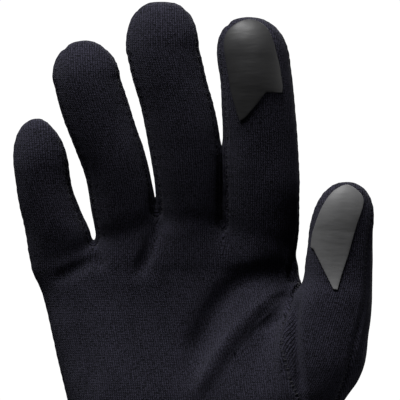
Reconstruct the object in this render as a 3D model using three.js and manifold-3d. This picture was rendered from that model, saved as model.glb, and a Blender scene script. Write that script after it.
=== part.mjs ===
// A knit glove liner for the right hand, worn shape, fingers up along +Z and thumb towards +X.
// The palm side faces -Y. The origin is the middle of the open mouth at the wrist. Sizes are in millimetres.
import * as THREE from "three";
import { mergeVertices } from "three/addons/utils/BufferGeometryUtils.js";
import Module from "manifold-3d";

const wasm = await Module();
wasm.setup();

// Driving sizes.
const WALL = 1.2; // thickness of the knit
const SEAM_GAP = 0.3; // clearance between two pieces at a seam
const HEM_HEIGHT = 14; // turned hem at the mouth
const HEM_EXTRA = 0.6; // how far the doubled hem stands out from the single knit
const HEM_CLEAR = 0.3; // clearance between the hem and the panels above it
const PATCH_LIFT = 0.3; // clearance between a patch and the knit under it
const PATCH_THICK = 0.5; // thickness of a patch
const KNUCKLES = 150; // height where the palm ends and the digits take over
const STRIP_SHARE = 0.5; // width of a strip between two fingers, as a share of the finger's depth
const STRIP_END = 2; // how far below the fingertip a strip runs out
const FAR = 90; // outside everything
const OVERRUN = 1; // how far a cutting solid runs past what it cuts
const ABOVE_TIP = 3; // how far the cutting regions run above a digit's tip
const HALF_GAP = SEAM_GAP / 2;
const TOUCH = 0.05; // how far neighbouring slabs run into each other
const CORE = 0.5; // half the width of the change from one side of a digit to the other
const FINGERS = ["little", "ring", "middle", "index"];

// Sampling.
const DIGIT_SIDES = 14;
const DIGIT_STEP = 10;
const DOME_SHARES = [0.3, 0.55, 0.75, 0.89, 0.97, 1];
const TIP_FLAT = 0.12; // share of the section left at the very tip
const DIGIT_SQUARE = 2.2; // 2 is an ellipse, more is squarer
const PALM_SQUARE = 2.8;
const PALM_FRONT_STEPS = 24;
const PALM_BACK_STEPS = 10;
const PALM_FOOT = 9; // where the shell starts, inside the hem
const PALM_HEIGHTS = [40, 60, 80, 95, 102, 108, 114, 120, 126, 132, 138, 144, KNUCKLES];
const PALM_SEAM_HEIGHTS = [HEM_HEIGHT + HEM_CLEAR, 40, 60, 80, 95, 106, 115, 124, 136.5, KNUCKLES + TOUCH];
const PALM_DOME_SHARES = [0.35, 0.65, 0.88, 1];
const PALM_DOME_BLUNT = 2.6;
const PALM_RIDGE = 0.16; // share of the depth left along the ridge between the fingers
const PALM_CORNER = 2.5; // how far the palm's top corners are pulled in
const STRIP_SHARES = [0.45, 0.78, 0.985];

// The digits: a row for each level section, seen from the palm side. left and right are its edges,
// mid is how far its middle lies behind the hand's plane, and depth is its size from front to back.
const DIGITS = {
  little: {
    bluntness: 2,
    tip: { z: 203, x: -54.4, y: -4.2 },
    rows: [
      { z: 143, left: -50, right: -39, mid: 1.2, depth: 14 },
      { z: 152, left: -56, right: -37.4, mid: 1.2, depth: 18 },
      { z: 162, left: -57.9, right: -35.2, mid: -0.3, depth: 19.7 },
      { z: 171.5, left: -60, right: -39.1, mid: -1.5, depth: 18.8 },
      { z: 178.5, left: -61.1, right: -41.8, mid: -2.4, depth: 18 },
      { z: 185.5, left: -62, right: -43.2, mid: -3.3, depth: 17 },
    ],
  },
  ring: {
    bluntness: 2,
    tip: { z: 230.3, x: -37.6, y: -7.4 },
    rows: [
      { z: 143, left: -31, right: -17, mid: 1.2, depth: 15 },
      { z: 152, left: -32.6, right: -14.2, mid: 1.2, depth: 19.2 },
      { z: 162, left: -33.6, right: -13.4, mid: -0.2, depth: 20.3 },
      { z: 171.5, left: -35.2, right: -13, mid: -2, depth: 21 },
      { z: 182, left: -36.9, right: -14.2, mid: -4, depth: 20.5 },
      { z: 192.5, left: -40.4, right: -16.7, mid: -5.4, depth: 20 },
      { z: 203, left: -44.3, right: -20.6, mid: -6.2, depth: 19.5 },
      { z: 217, left: -48.4, right: -25.2, mid: -6.6, depth: 18.5 },
    ],
  },
  middle: {
    bluntness: 2.5,
    tip: { z: 243.7, x: -10.6, y: -8.2 },
    rows: [
      { z: 143, left: -9.5, right: 7.5, mid: 1.2, depth: 16 },
      { z: 152, left: -11.6, right: 9.6, mid: 1.2, depth: 19.8 },
      { z: 162, left: -12.2, right: 9.9, mid: -0.3, depth: 20.8 },
      { z: 171.5, left: -12, right: 9.9, mid: -2, depth: 21.2 },
      { z: 182, left: -13.1, right: 9.9, mid: -4, depth: 21.5 },
      { z: 196, left: -15.4, right: 9.8, mid: -6, depth: 21.5 },
      { z: 206.5, left: -17.4, right: 7.8, mid: -6.9, depth: 21 },
      { z: 217, left: -20.2, right: 4.9, mid: -7.3, depth: 20.5 },
      { z: 227.5, left: -22.7, right: 2.1, mid: -7.4, depth: 19.5 },
    ],
  },
  index: {
    bluntness: 2.2,
    tip: { z: 238.6, x: 20, y: -7.6 },
    rows: [
      { z: 143, left: 14, right: 32, mid: 1.2, depth: 16 },
      { z: 152, left: 12, right: 35.6, mid: 1.2, depth: 19.8 },
      { z: 162, left: 11.2, right: 37, mid: -0.3, depth: 20.8 },
      { z: 171.5, left: 10.9, right: 37.5, mid: -2, depth: 21.2 },
      { z: 182, left: 10.8, right: 37.6, mid: -3.8, depth: 21.5 },
      { z: 199.5, left: 10.7, right: 36.6, mid: -5.8, depth: 21 },
      { z: 213.5, left: 10.2, right: 35.2, mid: -6.6, depth: 20.5 },
      { z: 224, left: 9, right: 34, mid: -6.9, depth: 19.5 },
    ],
  },
  thumb: {
    bluntness: 2.2,
    tip: { z: 181.5, x: 53.9, y: -13.5 },
    rows: [
      { z: 62, left: 10, right: 30, mid: 0, depth: 24 },
      { z: 80, left: 9, right: 37.5, mid: -5, depth: 30 },
      { z: 95, left: 13, right: 46.5, mid: -9, depth: 33 },
      { z: 106, left: 18, right: 53.4, mid: -11, depth: 33 },
      { z: 112, left: 21, right: 57.4, mid: -11.5, depth: 32.5 },
      { z: 119, left: 24.5, right: 60.2, mid: -12, depth: 31.5 },
      { z: 129.5, left: 29.5, right: 61.6, mid: -12, depth: 28.5 },
      { z: 140, left: 35, right: 62.5, mid: -12, depth: 25 },
      { z: 147, left: 38.7, right: 62.7, mid: -11.5, depth: 22 },
      { z: 154, left: 39.7, right: 62.8, mid: -11.5, depth: 20.5 },
      { z: 164.5, left: 40.8, right: 62.8, mid: -12, depth: 19.5 },
    ],
  },
};

// The palm and wrist, with the same columns.
const PALM = [
  { z: 0, left: -33.6, right: 33.6, mid: 0, depth: 50 },
  { z: 14, left: -33.2, right: 33.2, mid: 0.6, depth: 48.5 },
  { z: 40, left: -32.4, right: 32.4, mid: 1.6, depth: 45 },
  { z: 60, left: -32.4, right: 32.6, mid: 2, depth: 43 },
  { z: 80, left: -37, right: 37, mid: 1, depth: 41 },
  { z: 95, left: -41, right: 40.5, mid: -0.5, depth: 38.5 },
  { z: 106, left: -43.6, right: 41.5, mid: -1, depth: 36 },
  { z: 119, left: -46.8, right: 41, mid: -0.5, depth: 32 },
  { z: 130, left: -49.5, right: 40, mid: 0, depth: 28.5 },
  { z: 140, left: -51.7, right: 38.8, mid: 0.8, depth: 25.5 },
  { z: 150, left: -55.4, right: 37.2, mid: 1.2, depth: 22.6 },
];

// Height of the palm's top ridge across the hand. Between two fingers it is the fork of the web.
const WEBS = [
  { x: -58, ridge: 160 },
  { x: -46, ridge: 160 },
  { x: -34.4, ridge: 161.4 },
  { x: -23, ridge: 167 },
  { x: -12.8, ridge: 173.6 },
  { x: -1, ridge: 170.5 },
  { x: 10.4, ridge: 167.3 },
  { x: 24, ridge: 164 },
  { x: 36, ridge: 161 },
];

// Broad swellings and hollows of the palm side: where, how wide and tall, and how far they rise.
const MOUNDS = {
  heel_of_hand: { x: -27, z: 98, wide: 17, tall: 30, rise: 3.5 },
  ball_of_thumb: { x: 25, z: 102, wide: 15, tall: 27, rise: 7 },
  hollow_of_palm: { x: -6, z: 128, wide: 17, tall: 17, rise: -2.6 },
  pad_below_fingers: { x: -22, z: 152, wide: 30, tall: 9, rise: 0.6 },
};

// Folds of the palm side: each is a curve through three points, a width and a rise (below 0 is a valley).
const FOLDS = {
  valley_below_index: { from: [36, 148], via: [14, 144], to: [-2, 113], width: 4.4, rise: -3 },
  ridge_to_thumb: { from: [28, 141], via: [15, 128], to: [1, 108], width: 3.2, rise: 2.2 },
  valley_by_thumb: { from: [34, 140], via: [20, 130], to: [9, 113], width: 2.8, rise: -1.8 },
  crease_below_little: { from: [-33, 155], via: [-41, 151], to: [-48, 147.5], width: 2.6, rise: -1.4 },
  crease_below_web: { from: [-11.5, 170], via: [-14, 161], to: [-18.5, 149], width: 2.6, rise: -1.6 },
  crease_by_ring: { from: [-33.5, 161], via: [-33, 157], to: [-31.5, 152], width: 2.4, rise: -1.2 },
};
const FOLD_FADE = 0.18; // share of a fold's length over which each end dies out
const FOLD_END = 0.2; // share of its rise left at the very end
const FOLD_STEPS = 14;

// Where the front and back panels meet on the outer side of the thumb: height and place.
const THUMB_SEAM = [
  { z: 14, y: 0.6 },
  { z: 60, y: 2 },
  { z: 80, y: -5 },
  { z: 95, y: -14 },
  { z: 106, y: -21.4 },
  { z: 115, y: -24 },
  { z: 124, y: -23.8 },
  { z: 136.5, y: -21 },
  { z: 147, y: -18.7 },
  { z: 163, y: -17.4 },
  { z: 181.5, y: -13.5 },
];

// Where the panels meet on the index finger's outer side and on the thumb's inner side.
const INDEX_SEAM = [
  { z: 147, y: -5 },
  { z: 160, y: -4 },
  { z: 182, y: -4 },
  { z: 199.5, y: -5.8 },
  { z: 224, y: -6.9 },
  { z: 239, y: -7.6 },
];
const WEB_SEAM = [
  { z: 147, y: -7 },
  { z: 152, y: -9 },
  { z: 160, y: -12 },
  { z: 181.5, y: -13.5 },
];
const THUMB_SPLIT = 37.9; // the line up through the fork between index finger and thumb
const FORK = 1; // half the width over which one seam passes into the other at the fork
const FORK_HEIGHT = 147;
const FORK_LEAN = 0.55; // below the fork the change of seam moves into the hand, by this share of the drop
const FORK_SHIFT = 26; // and by this much at most

// The curved seam that sets the thumb's front panel into the palm, from the fork downwards.
const THUMB_SET_IN = [
  { x: 37.9, z: 147.5 },
  { x: 34.4, z: 139.8 },
  { x: 31.9, z: 131 },
  { x: 31.6, z: 122 },
  { x: 34, z: 112 },
  { x: 40.5, z: 100 },
  { x: 52, z: 88 },
];
const SET_IN_STEPS = 14;

// Outlines of the two smooth patches. round is one flowing stretch, drawn in so many steps,
// and straight is the cut lower edge.
const INDEX_PATCH = {
  steps: 26,
  round: [
    { x: 14.8, z: 211 },
    { x: 13, z: 221 },
    { x: 11.2, z: 230 },
    { x: 13.6, z: 235.4 },
    { x: 20.3, z: 238.3 },
    { x: 26.7, z: 234.6 },
    { x: 29.7, z: 223.3 },
    { x: 30.8, z: 214.2 },
  ],
  straight: [
    { x: 30.4, z: 212.1 },
    { x: 25.4, z: 212.3 },
    { x: 22, z: 207.6 },
    { x: 19.2, z: 204 },
    { x: 17, z: 202.3 },
  ],
};
const THUMB_PATCH = {
  steps: 28,
  round: [
    { x: 41.3, z: 158.6 },
    { x: 41.8, z: 164.2 },
    { x: 44.1, z: 170.5 },
    { x: 46.4, z: 175.7 },
    { x: 49.5, z: 179.2 },
    { x: 54.2, z: 181.1 },
    { x: 58.6, z: 178.2 },
    { x: 59.7, z: 174.3 },
    { x: 56.7, z: 165.9 },
    { x: 53.9, z: 156.1 },
  ],
  straight: [
    { x: 51.6, z: 149 },
    { x: 50.2, z: 143.9 },
    { x: 48.8, z: 144.1 },
    { x: 45.5, z: 151.2 },
    { x: 42.5, z: 158.1 },
  ],
};

const KNIT = { color: 0x1b1a24, roughness: 0.95, metalness: 0 };
const INDEX_FILM = { color: 0x3c3c3d, roughness: 0.45, metalness: 0 };
const THUMB_FILM = { color: 0x5b5b5b, roughness: 0.5, metalness: 0 };

// The value of one column of a table at a place along its key column, on a smooth curve through its rows.
function along(rows, column, place, key = "z") {
  const last = rows.length - 1;
  if (place <= rows[0][key]) return rows[0][column];
  if (place >= rows[last][key]) return rows[last][column];
  const i = rows.findIndex((row) => row[key] > place) - 1;
  const slope = (j) => {
    const below = rows[Math.max(j - 1, 0)];
    const above = rows[Math.min(j + 1, last)];
    return (above[column] - below[column]) / (above[key] - below[key]);
  };
  const span = rows[i + 1][key] - rows[i][key];
  const t = (place - rows[i][key]) / span;
  const start = (1 + 2 * t) * (1 - t) ** 2 * rows[i][column] + t * (1 - t) ** 2 * span * slope(i);
  const end = t * t * (3 - 2 * t) * rows[i + 1][column] + t * t * (t - 1) * span * slope(i + 1);
  return start + end;
}

function lerp(a, b, share) {
  return a + (b - a) * share;
}

// A number raised to a power with its sign kept.
function signedPower(value, power) {
  return Math.sign(value) * Math.abs(value) ** power;
}

// A solid from shared points and triangles.
function solidFrom(points, faces) {
  return new wasm.Manifold(
    new wasm.Mesh({
      numProp: 3,
      vertProperties: new Float32Array(points.flatMap((p) => [p.x, p.y, p.z])),
      triVerts: new Uint32Array(faces.flat()),
    }),
  );
}

// A closed solid through a stack of rings, each counter-clockwise seen from above.
function loft(rings) {
  const count = rings[0].length;
  const faces = [];
  for (let i = 0; i + 1 < rings.length; i += 1) {
    for (let j = 0; j < count; j += 1) {
      const a = i * count + j;
      const b = i * count + ((j + 1) % count);
      faces.push([a, b, b + count], [a, b + count, a + count]);
    }
  }
  const cap = (ring) => THREE.ShapeUtils.triangulateShape(ring.map((p) => new THREE.Vector2(p.x, p.y)), []);
  const top = (rings.length - 1) * count;
  for (const [a, b, c] of cap(rings[0])) faces.push([a, c, b]);
  for (const [a, b, c] of cap(rings.at(-1))) faces.push([top + a, top + b, top + c]);
  return solidFrom(rings.flat(), faces);
}

// A digit's table grown outwards on all sides, or inwards when by is below 0.
function grown(digit, by) {
  return {
    bluntness: digit.bluntness,
    tip: { ...digit.tip, z: digit.tip.z + by },
    rows: digit.rows.map((row) => ({
      ...row,
      left: row.left - by,
      right: row.right + by,
      depth: row.depth + 2 * by,
    })),
  };
}

// The level section of a digit: its middle, half width and half depth.
function digitSection({ rows, tip, bluntness }, z) {
  const shoulder = rows.at(-1).z;
  const rise = THREE.MathUtils.clamp((z - shoulder) / (tip.z - shoulder), 0, 1);
  const shrink = (1 - rise ** bluntness) ** (1 / bluntness);
  const left = along(rows, "left", z);
  const right = along(rows, "right", z);
  return {
    x: lerp((left + right) / 2, tip.x, rise),
    y: lerp(along(rows, "mid", z), tip.y, rise),
    wide: (shrink * (right - left)) / 2,
    deep: (shrink * along(rows, "depth", z)) / 2,
  };
}

// The heights of a digit's sections, from its root to its tip.
function digitHeights({ rows, tip }) {
  const root = rows[0].z;
  const shoulder = rows.at(-1).z;
  const steps = Math.round((shoulder - root) / DIGIT_STEP);
  const tube = Array.from({ length: steps + 1 }, (_, i) => lerp(root, shoulder, i / steps));
  return [...tube, ...DOME_SHARES.map((share) => lerp(shoulder, tip.z, share))];
}

function digitSolid(digit) {
  const rings = digitHeights(digit).map((z) => {
    const full = along(digit.rows, "depth", z) / 2;
    const { x, y, wide, deep } = digitSection(digit, z);
    const least = TIP_FLAT * full;
    return Array.from({ length: DIGIT_SIDES }, (_, j) => {
      const angle = (2 * Math.PI * j) / DIGIT_SIDES;
      return new THREE.Vector3(
        x + Math.max(wide, least) * signedPower(Math.cos(angle), 2 / DIGIT_SQUARE),
        y + Math.max(deep, least) * signedPower(Math.sin(angle), 2 / DIGIT_SQUARE),
        z,
      );
    });
  });
  return loft(rings);
}

// Each fold as a run of points along its curve.
const FOLD_LINES = Object.values(FOLDS).map((fold) => {
  const points = [fold.from, fold.via, fold.to].map(([x, z]) => new THREE.Vector2(x, z));
  return { ...fold, points: new THREE.SplineCurve(points).getPoints(FOLD_STEPS) };
});

// How far the palm side stands out at a place, from its mounds and folds.
function relief(x, z) {
  let rise = 0;
  for (const mound of Object.values(MOUNDS)) {
    rise += mound.rise * Math.exp(-(((x - mound.x) / mound.wide) ** 2) - ((z - mound.z) / mound.tall) ** 2);
  }
  for (const fold of FOLD_LINES) {
    let most = 0;
    fold.points.forEach((point, i) => {
      const share = i / FOLD_STEPS;
      const fade = Math.min(1, share / FOLD_FADE + FOLD_END, (1 - share) / FOLD_FADE + FOLD_END);
      const away = Math.hypot(x - point.x, z - point.y) / fold.width;
      most = Math.max(most, fade * Math.exp(-away * away));
    });
    rise += fold.rise * most;
  }
  return rise;
}

// A place from -1 to 1, moved so that even steps come closer together towards both ends.
function crowded(t) {
  return t * (1.5 - 0.5 * t * t);
}

// One ring of the palm, grown by a distance: at a height, or on the dome at a share of the way to the ridge.
function palmRing(z, share, by) {
  const shrink = Math.max((1 - share ** PALM_DOME_BLUNT) ** (1 / PALM_DOME_BLUNT), PALM_RIDGE);
  const corner = PALM_CORNER * share * share;
  const left = along(PALM, "left", z) - by + corner;
  const right = along(PALM, "right", z) + by - corner;
  const mid = along(PALM, "mid", z);
  const deep = shrink * (along(PALM, "depth", z) / 2 + by);
  const point = (t, side) => {
    const across = crowded(t);
    const x = (left + right) / 2 + ((right - left) / 2) * across;
    const edge = Math.max(1 - Math.abs(across) ** PALM_SQUARE, 0) ** (1 / PALM_SQUARE);
    const height = share > 0 ? lerp(z, along(WEBS, "ridge", x, "x") + by, share) : z;
    const stand = side < 0 ? relief(x, height) * edge * (1 - share * share) : 0;
    return { x, y: mid + side * (deep * edge + stand), height };
  };
  const ring = [];
  for (let i = 0; i < PALM_BACK_STEPS; i += 1) ring.push(point(1 - (2 * i) / PALM_BACK_STEPS, 1));
  for (let i = 0; i < PALM_FRONT_STEPS; i += 1) ring.push(point((2 * i) / PALM_FRONT_STEPS - 1, -1));
  return ring.map((p) => new THREE.Vector3(p.x, p.y, p.height));
}

function palmSolid(by, lowest) {
  const body = [lowest, ...PALM_HEIGHTS].map((z) => palmRing(z, 0, by));
  const dome = PALM_DOME_SHARES.map((share) => palmRing(KNUCKLES, share, by));
  return loft([...body, ...dome]);
}

// The whole glove as one hollow shell, open at the wrist.
function shellSolid() {
  const digits = Object.values(DIGITS);
  const hand = palmSolid(-WALL, PALM_FOOT - OVERRUN);
  const outside = digits.reduce((all, digit) => all.add(digitSolid(digit)), palmSolid(0, PALM_FOOT));
  const inside = digits.reduce((all, digit) => all.add(digitSolid(grown(digit, -WALL))), hand);
  return outside.subtract(inside);
}

// A solid between two surfaces that face front and back. Each column has x, low and high at a height.
function slab(columns, heights) {
  const points = [];
  for (const side of ["low", "high"]) {
    for (const z of heights) {
      for (const column of columns) points.push(new THREE.Vector3(column.x(z), column[side](z), z));
    }
  }
  const wide = columns.length;
  const tall = heights.length;
  const at = (side, i, j) => (side * tall + i) * wide + j;
  const faces = [];
  const quad = (a, b, c, d) => faces.push([a, b, c], [a, c, d]);
  for (let i = 0; i + 1 < tall; i += 1) {
    for (let j = 0; j + 1 < wide; j += 1) {
      quad(at(0, i, j), at(0, i, j + 1), at(0, i + 1, j + 1), at(0, i + 1, j));
      quad(at(1, i, j), at(1, i + 1, j), at(1, i + 1, j + 1), at(1, i, j + 1));
    }
    quad(at(0, i, 0), at(0, i + 1, 0), at(1, i + 1, 0), at(1, i, 0));
    quad(at(0, i, wide - 1), at(1, i, wide - 1), at(1, i + 1, wide - 1), at(0, i + 1, wide - 1));
  }
  for (let j = 0; j + 1 < wide; j += 1) {
    quad(at(0, 0, j), at(1, 0, j), at(1, 0, j + 1), at(0, 0, j + 1));
    quad(at(0, tall - 1, j), at(0, tall - 1, j + 1), at(1, tall - 1, j + 1), at(1, tall - 1, j));
  }
  return solidFrom(points, faces);
}

// Half the width of the strip on a finger's side, which runs out just below the tip.
function stripHalf(name, z) {
  const { rows, tip } = DIGITS[name];
  const shoulder = rows.at(-1).z;
  const share = THREE.MathUtils.clamp((z - shoulder) / (tip.z - STRIP_END - shoulder), 0, 1);
  return (STRIP_SHARE * Math.sqrt(1 - share * share) * along(rows, "depth", z)) / 2;
}

function centreOf(name, z) {
  return digitSection(DIGITS[name], z).x;
}

function middleOf(name, z) {
  return digitSection(DIGITS[name], z).y;
}

// The line halfway between two neighbouring fingers.
function between(left, right, z) {
  const before = digitSection(DIGITS[left], z);
  const after = digitSection(DIGITS[right], z);
  return (before.x + before.wide + after.x - after.wide) / 2;
}

// The two sides of each finger: where its slab ends, where the panels part and how wide the strip is.
function fingerSides(name) {
  const place = FINGERS.indexOf(name);
  const before = FINGERS[place - 1];
  const after = FINGERS[place + 1];
  const middle = (z) => middleOf(name, z);
  const strip = (z) => stripHalf(name, z);
  const none = () => 0;
  return {
    left: before
      ? { x: (z) => between(before, name, z) - TOUCH, part: middle, strip }
      : { x: () => -FAR, part: middle, strip: none },
    right: after
      ? { x: (z) => between(name, after, z) + TOUCH, part: middle, strip }
      : { x: () => THUMB_SPLIT + TOUCH, part: (z) => along(INDEX_SEAM, "y", z), strip: none },
  };
}

// The heights at which a digit's seams are placed, up to where its strips run out.
function seamHeights(digit) {
  const shoulder = digit.rows.at(-1).z;
  const tube = digitHeights(digit).filter((z) => z > KNUCKLES + 1 && z <= shoulder);
  return [...tube, ...STRIP_SHARES.map((share) => lerp(shoulder, digit.tip.z - STRIP_END, share))];
}

// The columns across one digit, from its left slab edge to its right one.
function digitColumns(name, sides) {
  const column = (x, side) => ({ x, part: side.part, strip: side.strip });
  return [
    column(sides.left.x, sides.left),
    column((z) => centreOf(name, z) - CORE, sides.left),
    column((z) => centreOf(name, z) + CORE, sides.right),
    column(sides.right.x, sides.right),
  ];
}

function palmColumns() {
  const none = () => 0;
  const palm = (z) => along(PALM, "mid", z);
  const thumb = (z) => along(THUMB_SEAM, "y", z);
  const index = (z) => along(INDEX_SEAM, "y", z);
  const web = (z) => along(WEB_SEAM, "y", z);
  const inwards = (x) => (z) => x - THREE.MathUtils.clamp((FORK_HEIGHT - z) * FORK_LEAN, 0, FORK_SHIFT);
  const centre = centreOf("thumb", KNUCKLES);
  return [
    { x: () => -FAR, part: palm, strip: none },
    { x: () => -FORK_SHIFT, part: palm, strip: none },
    { x: inwards(centreOf("index", KNUCKLES)), part: index, strip: none },
    { x: inwards(THUMB_SPLIT - FORK), part: index, strip: none },
    { x: inwards(THUMB_SPLIT + FORK), part: web, strip: none },
    { x: inwards(centre - CORE), part: web, strip: none },
    { x: inwards(centre + CORE), part: thumb, strip: none },
    { x: () => FAR, part: thumb, strip: none },
  ];
}

// Every region that the panels are cut from, as columns and heights.
function regions() {
  const list = [{ columns: palmColumns(), heights: PALM_SEAM_HEIGHTS }];
  const upper = (digit) => [KNUCKLES - TOUCH, ...seamHeights(digit), digit.tip.z, digit.tip.z + ABOVE_TIP];
  for (const name of FINGERS) {
    list.push({ columns: digitColumns(name, fingerSides(name)), heights: upper(DIGITS[name]) });
  }
  const none = () => 0;
  const thumbSides = {
    left: { x: () => THUMB_SPLIT - TOUCH, part: (z) => along(WEB_SEAM, "y", z), strip: none },
    right: { x: () => FAR, part: (z) => along(THUMB_SEAM, "y", z), strip: none },
  };
  list.push({ columns: digitColumns("thumb", thumbSides), heights: upper(DIGITS.thumb) });
  return list;
}

// All that lies in front of (side -1) or behind (side 1) the seams.
function half(side) {
  const solids = regions().map(({ columns, heights }) => {
    const cut = columns.map(({ x, part, strip }) => {
      const edge = (z) => part(z) + side * (strip(z) + HALF_GAP);
      const far = () => side * FAR;
      return { x, low: side < 0 ? far : edge, high: side < 0 ? edge : far };
    });
    return slab(cut, heights);
  });
  return solids.reduce((all, next) => all.add(next));
}

// The space of the strip between two neighbouring fingers.
function stripSpace(left, right) {
  const onFinger = (name, from, to) => {
    const inside = (z) => stripHalf(name, z) - HALF_GAP;
    const column = (x) => ({
      x,
      low: (z) => middleOf(name, z) - inside(z),
      high: (z) => middleOf(name, z) + inside(z),
    });
    return slab([column(from), column(to)], [KNUCKLES - TOUCH, ...seamHeights(DIGITS[name])]);
  };
  const gap = (z) => between(left, right, z);
  return onFinger(left, (z) => centreOf(left, z) + CORE, (z) => gap(z) + TOUCH).add(
    onFinger(right, (z) => gap(z) - TOUCH, (z) => centreOf(right, z) - CORE),
  );
}

// A flat outline in x and z, as a solid that runs from one depth to another.
function prism(outline, from, to) {
  const shape = new THREE.Shape(outline.map(({ x, z }) => new THREE.Vector2(x, z)));
  const geometry = new THREE.ExtrudeGeometry(shape, { depth: to - from, bevelEnabled: false });
  geometry.rotateX(Math.PI / 2);
  geometry.translate(0, to, 0);
  geometry.deleteAttribute("normal");
  geometry.deleteAttribute("uv");
  const merged = mergeVertices(geometry);
  return new wasm.Manifold(
    new wasm.Mesh({
      numProp: 3,
      vertProperties: merged.attributes.position.array,
      triVerts: new Uint32Array(merged.index.array),
    }),
  );
}

// Points on a smooth curve through a list of x and z.
function smooth(points, steps) {
  const curve = new THREE.SplineCurve(points.map(({ x, z }) => new THREE.Vector2(x, z)));
  return curve.getPoints(steps).map((p) => ({ x: p.x, z: p.y }));
}

// The region of the thumb's front panel, moved sideways from the set-in seam by a distance.
function thumbRegion(aside) {
  const seam = smooth(THUMB_SET_IN, SET_IN_STEPS).map(({ x, z }) => ({ x: x + aside, z: z - aside / 2 }));
  const top = DIGITS.thumb.tip.z + ABOVE_TIP;
  const outline = [{ x: seam[0].x, z: top }, ...seam, { x: FAR, z: seam.at(-1).z }, { x: FAR, z: top }];
  return prism(outline, -FAR, FAR);
}

// A thin skin over the front of a fingertip, inside an outline.
function patchSolid(digit, { steps, round, straight }) {
  const outside = digitSolid(grown(digit, PATCH_LIFT + PATCH_THICK));
  const skin = outside.subtract(digitSolid(grown(digit, PATCH_LIFT)));
  return skin.intersect(prism([...smooth(round, steps), ...straight], -FAR, digit.tip.y));
}

// The doubled hem around the mouth.
function hemSolid() {
  const middle = HEM_HEIGHT / 2;
  const outside = loft([0, middle, HEM_HEIGHT].map((z) => palmRing(z, 0, HEM_EXTRA)));
  const inside = loft([-OVERRUN, middle, HEM_HEIGHT + OVERRUN].map((z) => palmRing(z, 0, -WALL)));
  return outside.subtract(inside);
}

function meshOf(name, solid, finish) {
  const { vertProperties, triVerts } = solid.getMesh();
  const geometry = new THREE.BufferGeometry();
  geometry.setAttribute("position", new THREE.BufferAttribute(new Float32Array(vertProperties), 3));
  geometry.setIndex(new THREE.BufferAttribute(new Uint32Array(triVerts), 1));
  geometry.computeVertexNormals();
  const mesh = new THREE.Mesh(geometry, new THREE.MeshStandardMaterial(finish));
  mesh.name = name;
  return mesh;
}

const glove = new THREE.Group();
const shell = shellSolid();
const front = shell.intersect(half(-1));
glove.add(meshOf("palm_panel", front.subtract(thumbRegion(-HALF_GAP)), KNIT));
glove.add(meshOf("thumb_panel", front.intersect(thumbRegion(HALF_GAP)), KNIT));
glove.add(meshOf("back_panel", shell.intersect(half(1)), KNIT));
for (let i = 0; i + 1 < FINGERS.length; i += 1) {
  const [left, right] = [FINGERS[i], FINGERS[i + 1]];
  const strip = shell.intersect(stripSpace(left, right));
  glove.add(meshOf(`fourchette_${left}_${right}`, strip, KNIT));
}
glove.add(meshOf("wrist_hem", hemSolid(), KNIT));
glove.add(meshOf("index_touch_patch", patchSolid(DIGITS.index, INDEX_PATCH), INDEX_FILM));
glove.add(meshOf("thumb_touch_patch", patchSolid(DIGITS.thumb, THUMB_PATCH), THUMB_FILM));

export default glove;
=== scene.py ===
import functools
import math

import bpy
import numpy as np
from bpy.props import FloatProperty, FloatVectorProperty, IntProperty, PointerProperty
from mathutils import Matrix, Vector, kdtree, noise
from mathutils.geometry import delaunay_2d_cdt


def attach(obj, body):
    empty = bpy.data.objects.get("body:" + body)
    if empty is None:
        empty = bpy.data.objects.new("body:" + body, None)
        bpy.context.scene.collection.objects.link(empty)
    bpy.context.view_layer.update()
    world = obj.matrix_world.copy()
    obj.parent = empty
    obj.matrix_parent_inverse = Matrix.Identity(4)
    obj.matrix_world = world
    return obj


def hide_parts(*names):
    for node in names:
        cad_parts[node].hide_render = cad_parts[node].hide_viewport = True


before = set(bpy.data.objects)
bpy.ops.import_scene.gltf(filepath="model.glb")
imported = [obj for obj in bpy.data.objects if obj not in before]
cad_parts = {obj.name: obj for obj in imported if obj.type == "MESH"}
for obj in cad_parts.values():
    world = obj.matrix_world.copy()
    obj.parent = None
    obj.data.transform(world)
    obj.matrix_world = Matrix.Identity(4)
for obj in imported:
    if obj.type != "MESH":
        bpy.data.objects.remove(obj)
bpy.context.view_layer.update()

MM = 0.001

bl_info = {
    "name": "Knit glove liner",
    "version": (1, 0, 0),
    "blender": (4, 5, 0),
    "location": "View3D > Sidebar > Glove",
    "description": "Dresses the glove liner's frame in knit, films and thread",
    "category": "Object",
}


def table(columns, *rows):
    """A table of sizes as one array for each named column."""
    return dict(zip(columns.split(), np.array(rows, float).T))


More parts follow.
